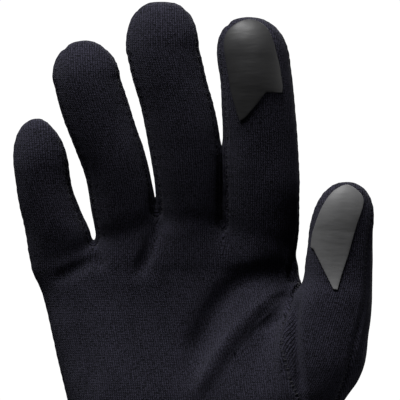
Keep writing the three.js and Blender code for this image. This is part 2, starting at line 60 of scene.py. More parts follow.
# The digits, seen from the palm side: left and right edges, how far the middle lies behind the
# hand's plane, and the depth from front to back at each height.
SECTION = "z left right mid depth"
FINGERS = ("little", "ring", "middle", "index")
DIGITS = {
    "little": {
        "blunt": 2.0,
        "tip": {"z": 203, "x": -54.4, "y": -4.2},
        "rows": table(
            SECTION,
            (143, -50, -39, 1.2, 14),
            (152, -56, -37.4, 1.2, 18),
            (162, -57.9, -35.2, -0.3, 19.7),
            (171.5, -60, -39.1, -1.5, 18.8),
            (178.5, -61.1, -41.8, -2.4, 18),
            (185.5, -62, -43.2, -3.3, 17),
        ),
    },
    "ring": {
        "blunt": 2.0,
        "tip": {"z": 230.3, "x": -37.6, "y": -7.4},
        "rows": table(
            SECTION,
            (143, -31, -17, 1.2, 15),
            (152, -32.6, -14.2, 1.2, 19.2),
            (162, -33.6, -13.4, -0.2, 20.3),
            (171.5, -35.2, -13, -2, 21),
            (182, -36.9, -14.2, -4, 20.5),
            (192.5, -40.4, -16.7, -5.4, 20),
            (203, -44.3, -20.6, -6.2, 19.5),
            (217, -48.4, -25.2, -6.6, 18.5),
        ),
    },
    "middle": {
        "blunt": 2.5,
        "tip": {"z": 243.7, "x": -10.6, "y": -8.2},
        "rows": table(
            SECTION,
            (143, -9.5, 7.5, 1.2, 16),
            (152, -11.6, 9.6, 1.2, 19.8),
            (162, -12.2, 9.9, -0.3, 20.8),
            (171.5, -12, 9.9, -2, 21.2),
            (182, -13.1, 9.9, -4, 21.5),
            (196, -15.4, 9.8, -6, 21.5),
            (206.5, -17.4, 7.8, -6.9, 21),
            (217, -20.2, 4.9, -7.3, 20.5),
            (227.5, -22.7, 2.1, -7.4, 19.5),
        ),
    },
    "index": {
        "blunt": 2.2,
        "tip": {"z": 238.6, "x": 20, "y": -7.6},
        "rows": table(
            SECTION,
            (143, 14, 32, 1.2, 16),
            (152, 12, 35.6, 1.2, 19.8),
            (162, 11.2, 37, -0.3, 20.8),
            (171.5, 10.9, 37.5, -2, 21.2),
            (182, 10.8, 37.6, -3.8, 21.5),
            (199.5, 10.7, 36.6, -5.8, 21),
            (213.5, 10.2, 35.2, -6.6, 20.5),
            (224, 9, 34, -6.9, 19.5),
        ),
    },
    "thumb": {
        "blunt": 2.2,
        "tip": {"z": 181.5, "x": 53.9, "y": -13.5},
        "rows": table(
            SECTION,
            (62, 10, 30, 0, 24),
            (80, 9, 37.5, -5, 30),
            (95, 13, 46.5, -9, 33),
            (106, 18, 53.4, -11, 33),
            (112, 21, 57.4, -11.5, 32.5),
            (119, 24.5, 60.2, -12, 31.5),
            (129.5, 29.5, 61.6, -12, 28.5),
            (140, 35, 62.5, -12, 25),
            (147, 38.7, 62.7, -11.5, 22),
            (154, 39.7, 62.8, -11.5, 20.5),
            (164.5, 40.8, 62.8, -12, 19.5),
        ),
    },
}
PALM = table(
    SECTION,
    (0, -33.6, 33.6, 0, 50),
    (14, -33.2, 33.2, 0.6, 48.5),
    (40, -32.4, 32.4, 1.6, 45),
    (60, -32.4, 32.6, 2, 43),
    (80, -37, 37, 1, 41),
    (95, -41, 40.5, -0.5, 38.5),
    (106, -43.6, 41.5, -1, 36),
    (119, -46.8, 41, -0.5, 32),
    (130, -49.5, 40, 0, 28.5),
    (140, -51.7, 38.8, 0.8, 25.5),
    (150, -55.4, 37.2, 1.2, 22.6),
)

# Height of the palm's top ridge across the hand. Between two fingers it is the fork of the web.
WEBS = table(
    "x ridge",
    (-58, 160),
    (-46, 160),
    (-34.4, 161.4),
    (-23, 167),
    (-12.8, 173.6),
    (-1, 170.5),
    (10.4, 167.3),
    (24, 164),
    (36, 161),
)
KNUCKLES = 150  # height where the palm ends and the digits take over
DIGIT_SQUARE = 2.2  # 2 is an ellipse, more is squarer
PALM_SQUARE = 2.8
PALM_DOME_BLUNT = 2.6
PALM_CORNER = 2.5
DIGIT_FOOT = 8  # how far a digit's round lower end reaches into the palm
BLEND = {"little": 3, "ring": 3, "middle": 3, "index": 3, "thumb": 6}  # how softly it joins the palm

# Broad swellings and hollows of the palm side, and its folds: a curve through three places (x, z),
# a width and a rise, which is below 0 in a valley.
MOUNDS = table(
    "x z wide tall rise",
    (-27, 98, 17, 30, 3.5),
    (25, 102, 15, 27, 7),
    (-6, 128, 17, 17, -2.6),
    (-22, 152, 30, 9, 0.6),
)
FOLDS = {
    "valley_below_index": ((36, 148), (14, 144), (-2, 113), 4.4, -3),
    "ridge_to_thumb": ((28, 141), (15, 128), (1, 108), 3.2, 2.2),
    "valley_by_thumb": ((34, 140), (20, 130), (9, 113), 2.8, -1.8),
    "crease_below_little": ((-33, 155), (-41, 151), (-48, 147.5), 2.6, -1.4),
    "crease_below_web": ((-11.5, 170), (-14, 161), (-18.5, 149), 2.6, -1.6),
    "crease_by_ring": ((-33.5, 161), (-33, 157), (-31.5, 152), 2.4, -1.2),
}
# The look's own sharper folds, which deepen those above and add the small ones.
FINE_FOLDS = {
    "valley_deeper": ((35.4, 150.5), (14, 143), (-0.7, 114.8), 3.6, -0.8),
    "ridge_sharper": ((36, 145.5), (16, 132), (1, 108), 1.7, 0.5),
    "crescent_by_thumb": ((35.4, 139.6), (28.6, 141), (22, 134), 1.8, -0.5),
    "second_valley": ((33, 139.6), (20, 129.5), (9, 112.5), 2.6, 1.3),
    "thumb_fold": ((35.2, 141), (34.8, 127.8), (38, 107), 1.8, -3.0),
    "web_edge": ((37.2, 146.5), (33, 136), (31.2, 118), 1.3, 1.8),
    "short_crease": ((32, 134), (28, 132.4), (25, 130), 1.4, -0.8),
    "little_crease": ((-33.3, 155), (-42, 150), (-47, 147.5), 2.2, -0.5),
    "web_crease": ((-12.4, 172), (-13.2, 163), (-18.8, 149), 2.1, -0.9),
    "little_web_crease": ((-33.6, 160), (-32.8, 156), (-31.4, 151.5), 1.5, -0.6),
    "middle_root": ((-11.5, 167.5), (-1, 168), (10, 167.5), 3.2, -0.55),
    "ring_root": ((-32.5, 161.5), (-24, 163.5), (-14, 167), 3.2, -0.4),
    "index_root": ((12.5, 167), (23, 162.5), (36.5, 158.5), 3.4, -0.35),
    "long_pull": ((-19, 147), (-19, 128), (-15, 108), 1.8, -0.5),
    "second_pull": ((-9, 150), (-7, 130), (-6, 108), 2.2, -0.45),
    "heel_pull": ((-40, 140), (-36, 125), (-33, 110), 2.6, -0.4),
}
# The pads of the fingertips, which the look rounds a little more.
PADS = table(
    "x z wide tall rise",
    (-54.5, 194, 9, 9, 0.9),
    (-37, 216, 11, 10, 1.3),
    (-10.8, 229, 12, 10, 1.4),
    (21, 219, 12, 12, 1.0),
    (-54.5, 186, 12, 18, 0.7),
    (-35.5, 208, 14, 22, 1.3),
    (-9.5, 220, 14, 24, 1.4),
    (21.5, 216, 14, 22, 1.0),
)
FOLD_FADE = 0.18  # share of a fold's length over which each end dies out
FOLD_END = 0.2  # share of its rise left at the very end
FOLD_STEPS = 40

# Where the panels meet: on the thumb's outer side, the index finger's outer side and the web.
THUMB_SEAM = table(
    "z y",
    (14, 0.6),
    (60, 2),
    (80, -5),
    (95, -14),
    (106, -21.4),
    (115, -24),
    (124, -23.8),
    (136.5, -21),
    (147, -18.7),
    (163, -17.4),
    (181.5, -13.5),
)
INDEX_SEAM = table("z y", (147, -5), (160, -4), (182, -4), (199.5, -5.8), (224, -6.9), (239, -7.6))
WEB_SEAM = table("z y", (147, -7), (152, -9), (160, -12), (181.5, -13.5))
THUMB_SET_IN = table(
    "z x", (88, 52), (100, 40.5), (112, 34), (122, 31.6), (131, 31.9), (139.8, 34.4), (147.5, 37.9)
)
SPLIT = 0.5  # half the width of a change of seam at a finger's middle or in a gap
INDEX_SPLIT = 1  # the same at the index finger's middle, on its outer side
THUMB_SPLIT = 3  # the same at the thumb's middle
FORK_SPLITS = (1, 0.5)  # the same at the fork, low down and high up
FINGER_MIDS_FROM = (146, 151)  # heights over which the side seams reach the fingers' middles
SIDE_SEAMS_FROM = (140, 147)  # heights over which the index finger's and web's seams begin
FORK_X = 37.9  # the line up through the fork between index finger and thumb
FORK_Z = 147  # the fork's height
FORK_OPENS = (FORK_Z, 156)  # heights over which that line moves out and its change gets sharper
FORK_SHIFT = 1  # how far it moves out
GAP_CLEAR = 0.4  # how far a gap's line stays outside the longer finger
STRIP_SHARE = 0.5  # width of a strip between two fingers, as a share of the finger's depth
STRIP_END = 2  # how far below the fingertip a strip runs out
HEM_EXTRA = 0.6  # how far the doubled hem stands out from the single knit
HEM_LINE = 10.4  # height of the stitched line that holds the hem
HEM_DIP = 0.28  # how far that line is pressed in
HEM_SIDES = 360
HEM_FOLD_STEPS = 9
HEM_LAP = 3  # how far along the cloth the inner layer starts from the outer one
# The hem above its fold: how far out from its outer face, or from its inner face, and the height.
# The inner layer stands up behind the panels.
HEM_OUTSIDE = (
    (0, 3), (0, 6), (0, 9), (-HEM_DIP, HEM_LINE), (0, 11.6), (0, 12.6),
    (-0.1, 13.5), (-0.4, 14.1), (-0.6, 14.2), (-1.5, 14.15),
)
HEM_INSIDE = (
    (-0.25, 14.3), (-0.3, 15.6), (-0.55, 15.9), (-0.8, 15.6), (-0.8, 13.5), (0, 10), (0, 6), (0, 3),
)
HEM_PUCKERS = {"rise": 0.12, "count": 78, "width": 2.2}
HEM_WAVES = {"rise": 0.25, "count": 5, "turn": 1}
PANEL_FOOT = 14.3  # where the panels start, above the hem
FOOT_KEPT = 0.5  # height of the panels' foot that easing leaves as it is

# How the cloth lies on the glove, in millimetres across it and up it.
PALM_PLACE = -9.1  # where the palm's middle lies across the cloth
THUMB_PLACE = 49.5  # where the thumb's middle lies across the cloth
PLAIN_FROM = {"x": (14, 30), "z": (70, 105)}  # where the cloth lies flat beside the thumb's root
THUMB_CLOTH_FROM = {"x": (34, 46), "z": (125, 150)}  # where it turns round the thumb instead
FINGER_CLOTH_RISE = 14  # height over which it turns round each finger instead
FINGER_ROOT_RISE = 5.0  # height above the knuckles at which a finger's middle is taken
ARC_RATIOS = (0.15, 1.4, 26)  # depth to width of the measured sections: least, most and how many
ARC_TURNS = 121
ARC_TURNING = (0.75, 0.95)  # shares of the half width over which a place is read from both sides

# The panels.
PANELS = ("palm", "thumb", "back", "strip_little_ring", "strip_ring_middle", "strip_middle_index")

# The smooth patches: an outline as a flowing stretch (x, z) and the cut lower edge, and how rough.
PATCHES = {
    "index": {
        "flowing": (
            (14.8, 211), (13.2, 221), (12, 229.6), (14.3, 234.4),
            (20.2, 236.9), (26, 233.6), (29.2, 223.3), (30.6, 214.2),
        ),
        "cut": ((30.4, 212.1), (25.4, 212.3), (22, 207.6), (19.2, 204), (17, 202.3)),
        "rough": 0.42,
    },
    "thumb": {
        "flowing": (
            (41.5, 158.6), (42.2, 164.2), (44.5, 170.5), (47, 175.2), (49.8, 178.3),
            (54, 179.9), (57.9, 177.4), (59.1, 173.9), (56.5, 165.9), (53.9, 156.1),
        ),
        "cut": ((51.6, 149), (50.2, 143.9), (48.8, 144.1), (45.5, 151.2), (42.5, 158.1)),
        "rough": 0.48,
    },
}

# Where two fingers touch: up to a height in full, up to a second one less and less, and how far
# each of them swells there.
TOUCHES = (("ring", "middle", 168, 184, 0.4), ("middle", "index", 191, 197, 0.75))

# The grid on which the skin is found.
GRID_STEP = 0.9
GRID_LOW = (-66, -38, 9)
GRID_HIGH = (67, 31, 247)
GAP_LINES = 2.0  # how many times more grid lines there are in a gap between two fingers
GAP_REACH = 1.2  # half the width of that finer stretch
GAP_FROM = (KNUCKLES, KNUCKLES + 10)  # heights over which it begins
GRID_PARTS = 9  # parts of a step in which the lines' crowding is worked out
SETTLE_MOST = 0.8  # how far a point may move in one step on to the skin
SLOPE_LEAST = 0.05  # least square of the steepness that such a step reckons with
EASE_ROUNDS = 14  # how often the skin's kinks are eased
EASE_STEPS = (0.5, -0.53)  # one step that eases them and one that keeps the size

# The look's small relief, in millimetres. A seam lies in a dip between two low lips, with puckers
# across it. Waves run over all the cloth: a rise, then their sizes along x, y and z.
DIP_WIDTH = 0.9
LIP = {"share": 0.3, "away": 2.1, "width": 1.1}
PUCKERS = {"rise": 0.07, "pitch": 3.1, "width": 3, "sway": 2, "drift": 9, "lean": 4}
SEAM_REACH = 12  # beyond this a seam isn't felt
SEAM_SHARES = (0, 0.33, 0.67)  # places on each of its edges from which the distance is taken
WAVES = ((0.3, (9, 9, 14)), (0.06, (2.6, 2.6, 5)))
FACING = 1.6  # how soon the cloth that faces the front has the palm side's folds in full
TOUCH_ACROSS = (4.5, 1.2)  # how far from the gap's line a finger starts to swell, and is in full
TOUCH_FROM = (162, 166)
TOUCH_DEEP = 6

# How a film's mesh is laid out, in millimetres.
FILM_EDGE_STEP = 0.5
FILM_GRID_STEP = 0.6
FILM_CLEAR = 0.35  # least distance from the outline to a point of the grid
FILM_CURVE_STEPS = 6  # steps from one place of a flowing stretch to the next
FILM_ROUNDS = 8  # steps in which a film's points find the skin
FILM_STEP_MOST = 1.5  # how far they may move in one of them
FILM_SLOPE_MOST = -0.25  # the flattest slope that such a step reckons with
FILM_EDGE_LIFT = 0.5  # share of a film's lift that is left where it doesn't face the front
FILM_BEVEL = 0.08

# The stitches: a bow's height in threads, its steps and sides, and how far it is turned at random.
STITCH_RISE = 0.6
STITCH_STEPS = 5
THREAD_SIDES = 5
STITCH_SKEW = 0.22

# How strongly each part of the jersey lightens its colour (the stitches' part paints shade into the
# grooves between them and a painted highlight on their raised middles), its darkest and palest shade,
# how far its columns and rows drift, in stitches, and the level of the noise above which there is lint.
KNIT_LIGHT = {"stitch": 3.2, "yarns": 2.2, "cloudy": 0.9, "nap": 3.0, "fleck": 6.5}
KNIT_BASE = 0.9
KNIT_SHADES = (0.12, 3.0)
KNIT_DRIFT = (0.7, 0.9)
LINT_FROM = 0.76
LINT_LIGHT = 9

# What the camera takes in at the hand's plane, in metres: its width, and its centre (x, z).
FRAME_WIDTH = 0.14
FRAME_CENTRE = (0.0028, 0.175)
# The lamps, in metres: each one's place and size. They all point at one place.
LAMPS = {
    "top": ((-0.3, -0.31, 1.3), 0.6),
    "side": ((1.2, -0.3, 0.3), 0.6),
    "back": ((0.5, 1.3, 1.0), 0.9),
}
LIT_PLACE = (0, 0, 0.14)
FLOOR_RADIUS = 2.2
FLOOR_GLOW = 0.6  # keeps the floor pale away from the lamps; it lights nothing else
BACKDROP = 1.05  # brightness of the surround where the camera sees it


class GloveCloth(bpy.types.PropertyGroup):
    """Sizes and colour of the knit"""

    wall: FloatProperty(
        name="Wall", description="Thickness of the knit", default=0.0012, unit="LENGTH"
    )
    wale: FloatProperty(
        name="Wale", description="Width of one column of stitches", default=0.00077, unit="LENGTH"
    )
    course: FloatProperty(
        name="Course", description="Height of one row of stitches", default=0.0006, unit="LENGTH"
    )
    colour: FloatVectorProperty(
        name="Colour", description="Colour of the yarn", subtype="COLOR",
        default=(0.0105, 0.010, 0.0155),
    )
    sheen: FloatProperty(
        name="Sheen", description="Light caught by the nap", subtype="FACTOR", default=0.04
    )


class GloveSeams(bpy.types.PropertyGroup):
    """Sizes of the seams and their thread"""

    groove: FloatProperty(
        name="Groove", description="Depth of the dip at a seam", default=0.0006, unit="LENGTH"
    )
    spacing: FloatProperty(
        name="Spacing", description="From one stitch to the next", default=0.0017, unit="LENGTH"
    )
    stitch: FloatProperty(
        name="Stitch", description="Length of a stitch across the seam", default=0.0016, unit="LENGTH"
    )
    hem_spacing: FloatProperty(
        name="Hem spacing", description="From one hem stitch to the next", default=0.0026, unit="LENGTH"
    )
    hem_stitch: FloatProperty(
        name="Hem stitch", description="Length of a stitch along the hem", default=0.0021, unit="LENGTH"
    )
    thread: FloatProperty(
        name="Thread", description="Thickness of the thread", default=0.00028, unit="LENGTH"
    )
    seed: IntProperty(name="Seed", description="Seed of the stitches' unevenness", default=7)


class GloveFilms(bpy.types.PropertyGroup):
    """Sizes and colours of the smooth touch patches"""

    thick: FloatProperty(
        name="Thickness", description="Thickness of a patch", default=0.00022, unit="LENGTH"
    )
    lift: FloatProperty(
        name="Lift", description="Height of its outer side over the knit", default=0.0004, unit="LENGTH"
    )
    index_colour: FloatVectorProperty(
        name="Index", description="Colour of the index patch", subtype="COLOR",
        default=(0.026, 0.026, 0.027),
    )
    # Paler than the index patch's colour as painted light: it stands for the extra light on the thumb
    # patch, which faces up and to the side.
    thumb_colour: FloatVectorProperty(
        name="Thumb", description="Colour of the thumb patch", subtype="COLOR",
        default=(0.105, 0.105, 0.107),
    )


class GloveStudio(bpy.types.PropertyGroup):
    """Floor, light and camera"""

    floor_colour: FloatVectorProperty(
        name="Floor", description="Colour of the floor", subtype="COLOR", default=(0.8, 0.8, 0.8)
    )
    top_light: FloatProperty(
        name="Top light", description="Power of the light above", default=27.0, unit="POWER"
    )
    back_light: FloatProperty(
        name="Back light", description="Power of the light behind", default=16.0, unit="POWER"
    )
    side_light: FloatProperty(
        name="Side light", description="Power of the light beside the thumb", default=3.0, unit="POWER"
    )
    surround: FloatProperty(
        name="Surround", description="Strength of the light from all round", default=0.035, min=0.0
    )
    distance: FloatProperty(
        name="Distance", description="From the camera to the hand's plane", default=1.6, unit="LENGTH"
    )


def along(rows, column, place, key="z"):
    """The value of a table's column at a place along its key column, on a smooth curve."""
    at, value = rows[key], rows[column]
    low = np.maximum(np.arange(len(at)) - 1, 0)
    high = np.minimum(np.arange(len(at)) + 1, len(at) - 1)
    slope = (value[high] - value[low]) / (at[high] - at[low])
    place = np.clip(place, at[0], at[-1])
    i = np.clip(np.searchsorted(at, place, "right") - 1, 0, len(at) - 2)
    span = at[i + 1] - at[i]
    t = (place - at[i]) / span
    start = (1 + 2 * t) * (1 - t) ** 2 * value[i] + t * (1 - t) ** 2 * span * slope[i]
    return start + t * t * (3 - 2 * t) * value[i + 1] + t * t * (t - 1) * span * slope[i + 1]


def lerp(a, b, share):
    return a + (b - a) * share


def rising(place, start, end):
    """0 before start, 1 after end, and smooth between them."""
    t = np.clip((place - start) / (end - start), 0, 1)
    return t * t * (3 - 2 * t)


def folded(folds, x, z):
    """How far the palm side stands out at a place, from some folds."""
    rise = 0
    for start, via, end, width, height in folds.values():
        most = 0
        for t in np.linspace(0, 1, FOLD_STEPS + 1):
            shares = ((1 - t) * (1 - 2 * t), 4 * t * (1 - t), t * (2 * t - 1))
            fold_x, fold_z = (sum(s * p[k] for s, p in zip(shares, (start, via, end))) for k in (0, 1))
            fade = min(1, t / FOLD_FADE + FOLD_END, (1 - t) / FOLD_FADE + FOLD_END)
            away = ((x - fold_x) ** 2 + (z - fold_z) ** 2) / width**2
            most = np.maximum(most, fade * np.exp(-away))
        rise = rise + height * most
    return rise


def swollen(mounds, x, z):
    """How far the palm side stands out at a place, from some mounds."""
    rise = 0
    for i in range(len(mounds["x"])):
        mound = {column: mounds[column][i] for column in mounds}
        away = ((x - mound["x"]) / mound["wide"]) ** 2 + ((z - mound["z"]) / mound["tall"]) ** 2
        rise = rise + mound["rise"] * np.exp(-away)
    return rise


def relief(x, z):
    """How far the palm side stands out at a place, from its mounds and folds."""
    return folded(FOLDS, x, z) + swollen(MOUNDS, x, z)


def rounded(dx, dy, rise, wide, deep, high, square, blunt):
    """Roughly how far a place lies outside a rounded form of these half sizes."""
    across, back = np.abs(dx) / wide, np.abs(dy) / deep
    section = np.maximum(across**square + back**square, 1e-9)
    size = np.maximum(section ** (blunt / square) + rise**blunt, 1e-9) ** (1 / blunt)
    pull = section ** (blunt / square - 1)
    steep_x = pull * across ** (square - 1) / wide
    steep_y = pull * back ** (square - 1) / deep
    steep_z = rise ** (blunt - 1) / high
    steep = np.sqrt(steep_x**2 + steep_y**2 + steep_z**2) * size ** (1 - blunt)
    return (size - 1) / np.maximum(steep, 1e-3)


def above_shoulder(name, z):
    """How far up a digit's domed end a height lies: 0 at its shoulder and 1 at its tip."""
    shoulder = DIGITS[name]["rows"]["z"][-1]
    return np.clip((z - shoulder) / (DIGITS[name]["tip"]["z"] - shoulder), 0, None)


def digit_field(name, x, y, z):
    rows, tip = DIGITS[name]["rows"], DIGITS[name]["tip"]
    rise = above_shoulder(name, z)
    sink = np.clip((rows["z"][0] - z) / DIGIT_FOOT, 0, None)
    left, right = along(rows, "left", z), along(rows, "right", z)
    centre_x = lerp((left + right) / 2, tip["x"], np.minimum(rise, 1))
    centre_y = lerp(along(rows, "mid", z), tip["y"], np.minimum(rise, 1))
    high = np.where(rise > 0, tip["z"] - rows["z"][-1], DIGIT_FOOT)
    wide, deep = (right - left) / 2, along(rows, "depth", z) / 2
    blunt = DIGITS[name]["blunt"]
    return rounded(x - centre_x, y - centre_y, rise + sink, wide, deep, high, DIGIT_SQUARE, blunt)


def palm_field(x, y, z, stand):
    high = along(WEBS, "ridge", x, "x") - KNUCKLES
    share = np.clip((z - KNUCKLES) / high, 0, None)
    corner = PALM_CORNER * np.minimum(share, 1) ** 2
    left, right = along(PALM, "left", z) + corner, along(PALM, "right", z) - corner
    mid, deep = along(PALM, "mid", z), along(PALM, "depth", z) / 2
    front = np.clip((mid - y) / deep, 0, 1) * (1 - np.minimum(share, 1) ** 2)
    dx, dy = x - (left + right) / 2, y - mid + stand * front
    return rounded(dx, dy, share, (right - left) / 2, deep, high, PALM_SQUARE, PALM_DOME_BLUNT)


def smooth_least(a, b, reach):
    """The lesser of two fields, with the corner between them filled over a reach."""
    close = np.clip(1 - np.abs(a - b) / reach, 0, 1)
    return np.minimum(a, b) - close * close * reach / 4


def glove_field(x, y, z, stand=None):
    """How far a place lies outside the glove, in millimetres near its skin."""
    palm = palm_field(x, y, z, relief(x, z) if stand is None else stand)
    whole = palm
    for name, reach in BLEND.items():
        whole = np.minimum(whole, smooth_least(palm, digit_field(name, x, y, z), reach))
    return whole


def gap_between(left, right, z):
    """The line halfway between two neighbouring fingers, which stays outside the longer one."""
    edge = along(DIGITS[right]["rows"], "left", z)
    return np.minimum((along(DIGITS[left]["rows"], "right", z) + edge) / 2, edge - GAP_CLEAR)


def centre_of(name, z):
    """How far across the middle of a digit lies at a height."""
    rows, rise = DIGITS[name]["rows"], np.minimum(above_shoulder(name, z), 1)
    centre = (along(rows, "left", z) + along(rows, "right", z)) / 2
    return lerp(centre, DIGITS[name]["tip"]["x"], rise)


def middle_of(name, z):
    """How deep the middle of a digit lies at a height."""
    rise = np.minimum(above_shoulder(name, z), 1)
    return lerp(along(DIGITS[name]["rows"], "mid", z), DIGITS[name]["tip"]["y"], rise)


def grid_lines():
    """The grid: its x for each line and height, closer together in the gaps, its y and its z."""
    y = np.arange(GRID_LOW[1], GRID_HIGH[1], GRID_STEP)
    z = np.arange(GRID_LOW[2], GRID_HIGH[2], GRID_STEP)
    fine = np.arange(GRID_LOW[0] - 1, GRID_HIGH[0] + 1, GRID_STEP / GRID_PARTS)
    spare = GAP_LINES * GAP_REACH * (len(FINGERS) - 1)
    even = np.arange(GRID_LOW[0] - spare, GRID_HIGH[0] + spare, GRID_STEP)
    x = np.empty((len(even), len(z)))
    for k, height in enumerate(z):
        spread = fine.copy()
        for left, right in zip(FINGERS, FINGERS[1:]):
            more = GAP_LINES * rising(height, *GAP_FROM)
            spread += more * GAP_REACH * np.tanh((fine - gap_between(left, right, height)) / GAP_REACH)
        x[:, k] = np.interp(even, spread, fine)
    return x, y, z


def net_of(field):
    """Points, in grid steps, and outward four-sided faces where a grid of values changes sign."""
    inside = field < 0
    total, count, rings = np.zeros((field.size, 3)), np.zeros(field.size), []
    for axis in range(3):
        others = [k for k in range(3) if k != axis]
        low = tuple(slice(0, -1) if k == axis else slice(None) for k in range(3))
        high = tuple(slice(1, None) if k == axis else slice(None) for k in range(3))
        node = np.argwhere(inside[low] != inside[high])
        room = [(node[:, k] > 0) & (node[:, k] < field.shape[k] - 1) for k in others]
        node = node[room[0] & room[1]]
        start = field[low][tuple(node.T)]
        end = field[high][tuple(node.T)]
        point = node.astype(float)
        point[:, axis] += start / (start - end)
        ring = []
        for step in ((0, 0), (1, 0), (1, 1), (0, 1)):
            cell = node.copy()
            cell[:, others] -= step
            flat = np.ravel_multi_index(cell.T, field.shape)
            np.add.at(total, flat, point)
            np.add.at(count, flat, 1)
            ring.append(flat)
        ring = np.stack(ring, axis=1)
        turned = (start > 0) != (axis == 1)
        ring[turned] = ring[turned][:, ::-1]
        rings.append(ring)
    used = np.flatnonzero(count)
    place = np.empty(field.size, int)
    place[used] = np.arange(len(used))
    return total[used] / count[used, None], place[np.concatenate(rings)]


def slope_of(points, step=0.05):
    """The glove field at some points and its slope there."""
    value = glove_field(*points.T)
    slope = np.empty_like(points)
    for k in range(3):
        ahead, behind = points.copy(), points.copy()
        ahead[:, k] += step
        behind[:, k] -= step
        slope[:, k] = (glove_field(*ahead.T) - glove_field(*behind.T)) / (2 * step)
    return value, slope


def settled(points, rounds=2):
    """The points moved onto the glove's skin."""
    for _ in range(rounds):
        value, slope = slope_of(points)
        steep = np.maximum((slope**2).sum(1), SLOPE_LEAST)
        points = points - np.clip(value / steep, -SETTLE_MOST, SETTLE_MOST)[:, None] * slope
    return points


def normals_of(points, faces):
    a, b, c = (points[faces[:, k]] for k in range(3))
    flat = np.cross(b - a, c - a)
    total = np.zeros_like(points)
    for k in range(3):
        np.add.at(total, faces[:, k], flat)
    return total / np.maximum(np.linalg.norm(total, axis=1, keepdims=True), 1e-12)


def cut(points, faces, value, snap=0.06):
    """Splits the triangles that a value changes sign in, so that each lies on one side."""
    sign = np.where(np.abs(value) < snap, 0, np.sign(value)).astype(int)
    corners = sign[faces]
    crossed = (corners.min(1) < 0) & (corners.max(1) > 0)
    kept, added, fresh, made = faces[~crossed], [], [], {}

    def between(i, j):
        key = (min(i, j), max(i, j))
        if key not in made:
            share = value[i] / (value[i] - value[j])
            made[key] = len(points) + len(fresh)
            fresh.append(lerp(points[i], points[j], share))
        return made[key]

    for face in faces[crossed].tolist():
        signs = [int(sign[i]) for i in face]
        if 0 in signs:
            turn = signs.index(0)
            zero, b, c = face[turn:] + face[:turn]
            p = between(b, c)
            added += [(zero, b, p), (zero, p, c)]
        else:
            turn = signs.index(-sum(signs))
            lone, b, c = face[turn:] + face[:turn]
            p, q = between(lone, b), between(lone, c)
            added += [(lone, p, q), (p, b, c), (p, c, q)]
    if added:
        points = np.vstack([points, fresh])
        kept = np.vstack([kept, added])
    return points, kept


def strip_half(name, z):
    """Half the width of the strip on a finger's side, which runs out just below the tip."""
    rows, tip = DIGITS[name]["rows"], DIGITS[name]["tip"]
    shoulder = rows["z"][-1]
    share = np.clip((z - shoulder) / (tip["z"] - STRIP_END - shoulder), 0, 1)
    return STRIP_SHARE * np.sqrt(1 - share**2) * along(rows, "depth", z) / 2


def stepped(x, first, *steps):
    """A value that changes across the hand: each step says from where, to where and to what."""
    value = first
    for start, end, after in steps:
        value = lerp(value, after, rising(x, start, end))
    return value


def seam_depth(x, z):
    """The depth at which the front and back panels part."""
    fingers = middle_of("little", z)
    for left, right in zip(FINGERS, FINGERS[1:]):
        gap = gap_between(left, right, z)
        fingers = stepped(x, fingers, (gap - SPLIT, gap + SPLIT, middle_of(right, z)))
    index, thumb = centre_of("index", z), centre_of("thumb", z)
    left_side = lerp(along(PALM, "mid", z), fingers, rising(z, *FINGER_MIDS_FROM))
    begun, opened = rising(z, *SIDE_SEAMS_FROM), rising(z, *FORK_OPENS)
    fork, reach = FORK_X + FORK_SHIFT * opened, lerp(*FORK_SPLITS, opened)
    from_index, from_web = (
        lerp(left_side, along(seam, "y", z), begun) for seam in (INDEX_SEAM, WEB_SEAM)
    )
    return stepped(
        x,
        left_side,
        (index - INDEX_SPLIT, index + INDEX_SPLIT, from_index),
        (fork - reach, fork + reach, from_web),
        (thumb - THUMB_SPLIT, thumb + THUMB_SPLIT, along(THUMB_SEAM, "y", z)),
    )


def strip_width(x, z):
    """Half the width of the strip between the front and back panels, or 0 where there is none."""
    steps = []
    for left, right in zip(FINGERS, FINGERS[1:]):
        centre, gap = centre_of(left, z), gap_between(left, right, z)
        steps.append((centre - SPLIT, centre + SPLIT, strip_half(left, z)))
        steps.append((gap - SPLIT, gap + SPLIT, strip_half(right, z)))
    steps.append((centre_of("index", z) - SPLIT, centre_of("index", z) + SPLIT, 0))
    return np.where(z > KNUCKLES, stepped(x, 0 * x, *steps), 0)


def set_in_line(z):
    """How far across the thumb's set-in seam lies at a height."""
    return along(THUMB_SET_IN, "x", z)


def panel_at(points):
    """The panel that each place on the skin belongs to, as its place in PANELS."""
    x, y, z = points.T
    part, half = seam_depth(x, z), strip_width(x, z)
    strip = 3 + (x > centre_of("ring", z)).astype(int) + (x > centre_of("middle", z))
    front = np.where((x > set_in_line(z)) & (z > THUMB_SET_IN["z"][0]), 1, 0)
    return np.select([y > part + half, y < part - half], [2, front], strip)


def squared(value, square):
    """A sine or cosine of a turn, bent so that the section it draws is squarer than round."""
    return np.sign(value) * np.abs(value) ** (2 / square)


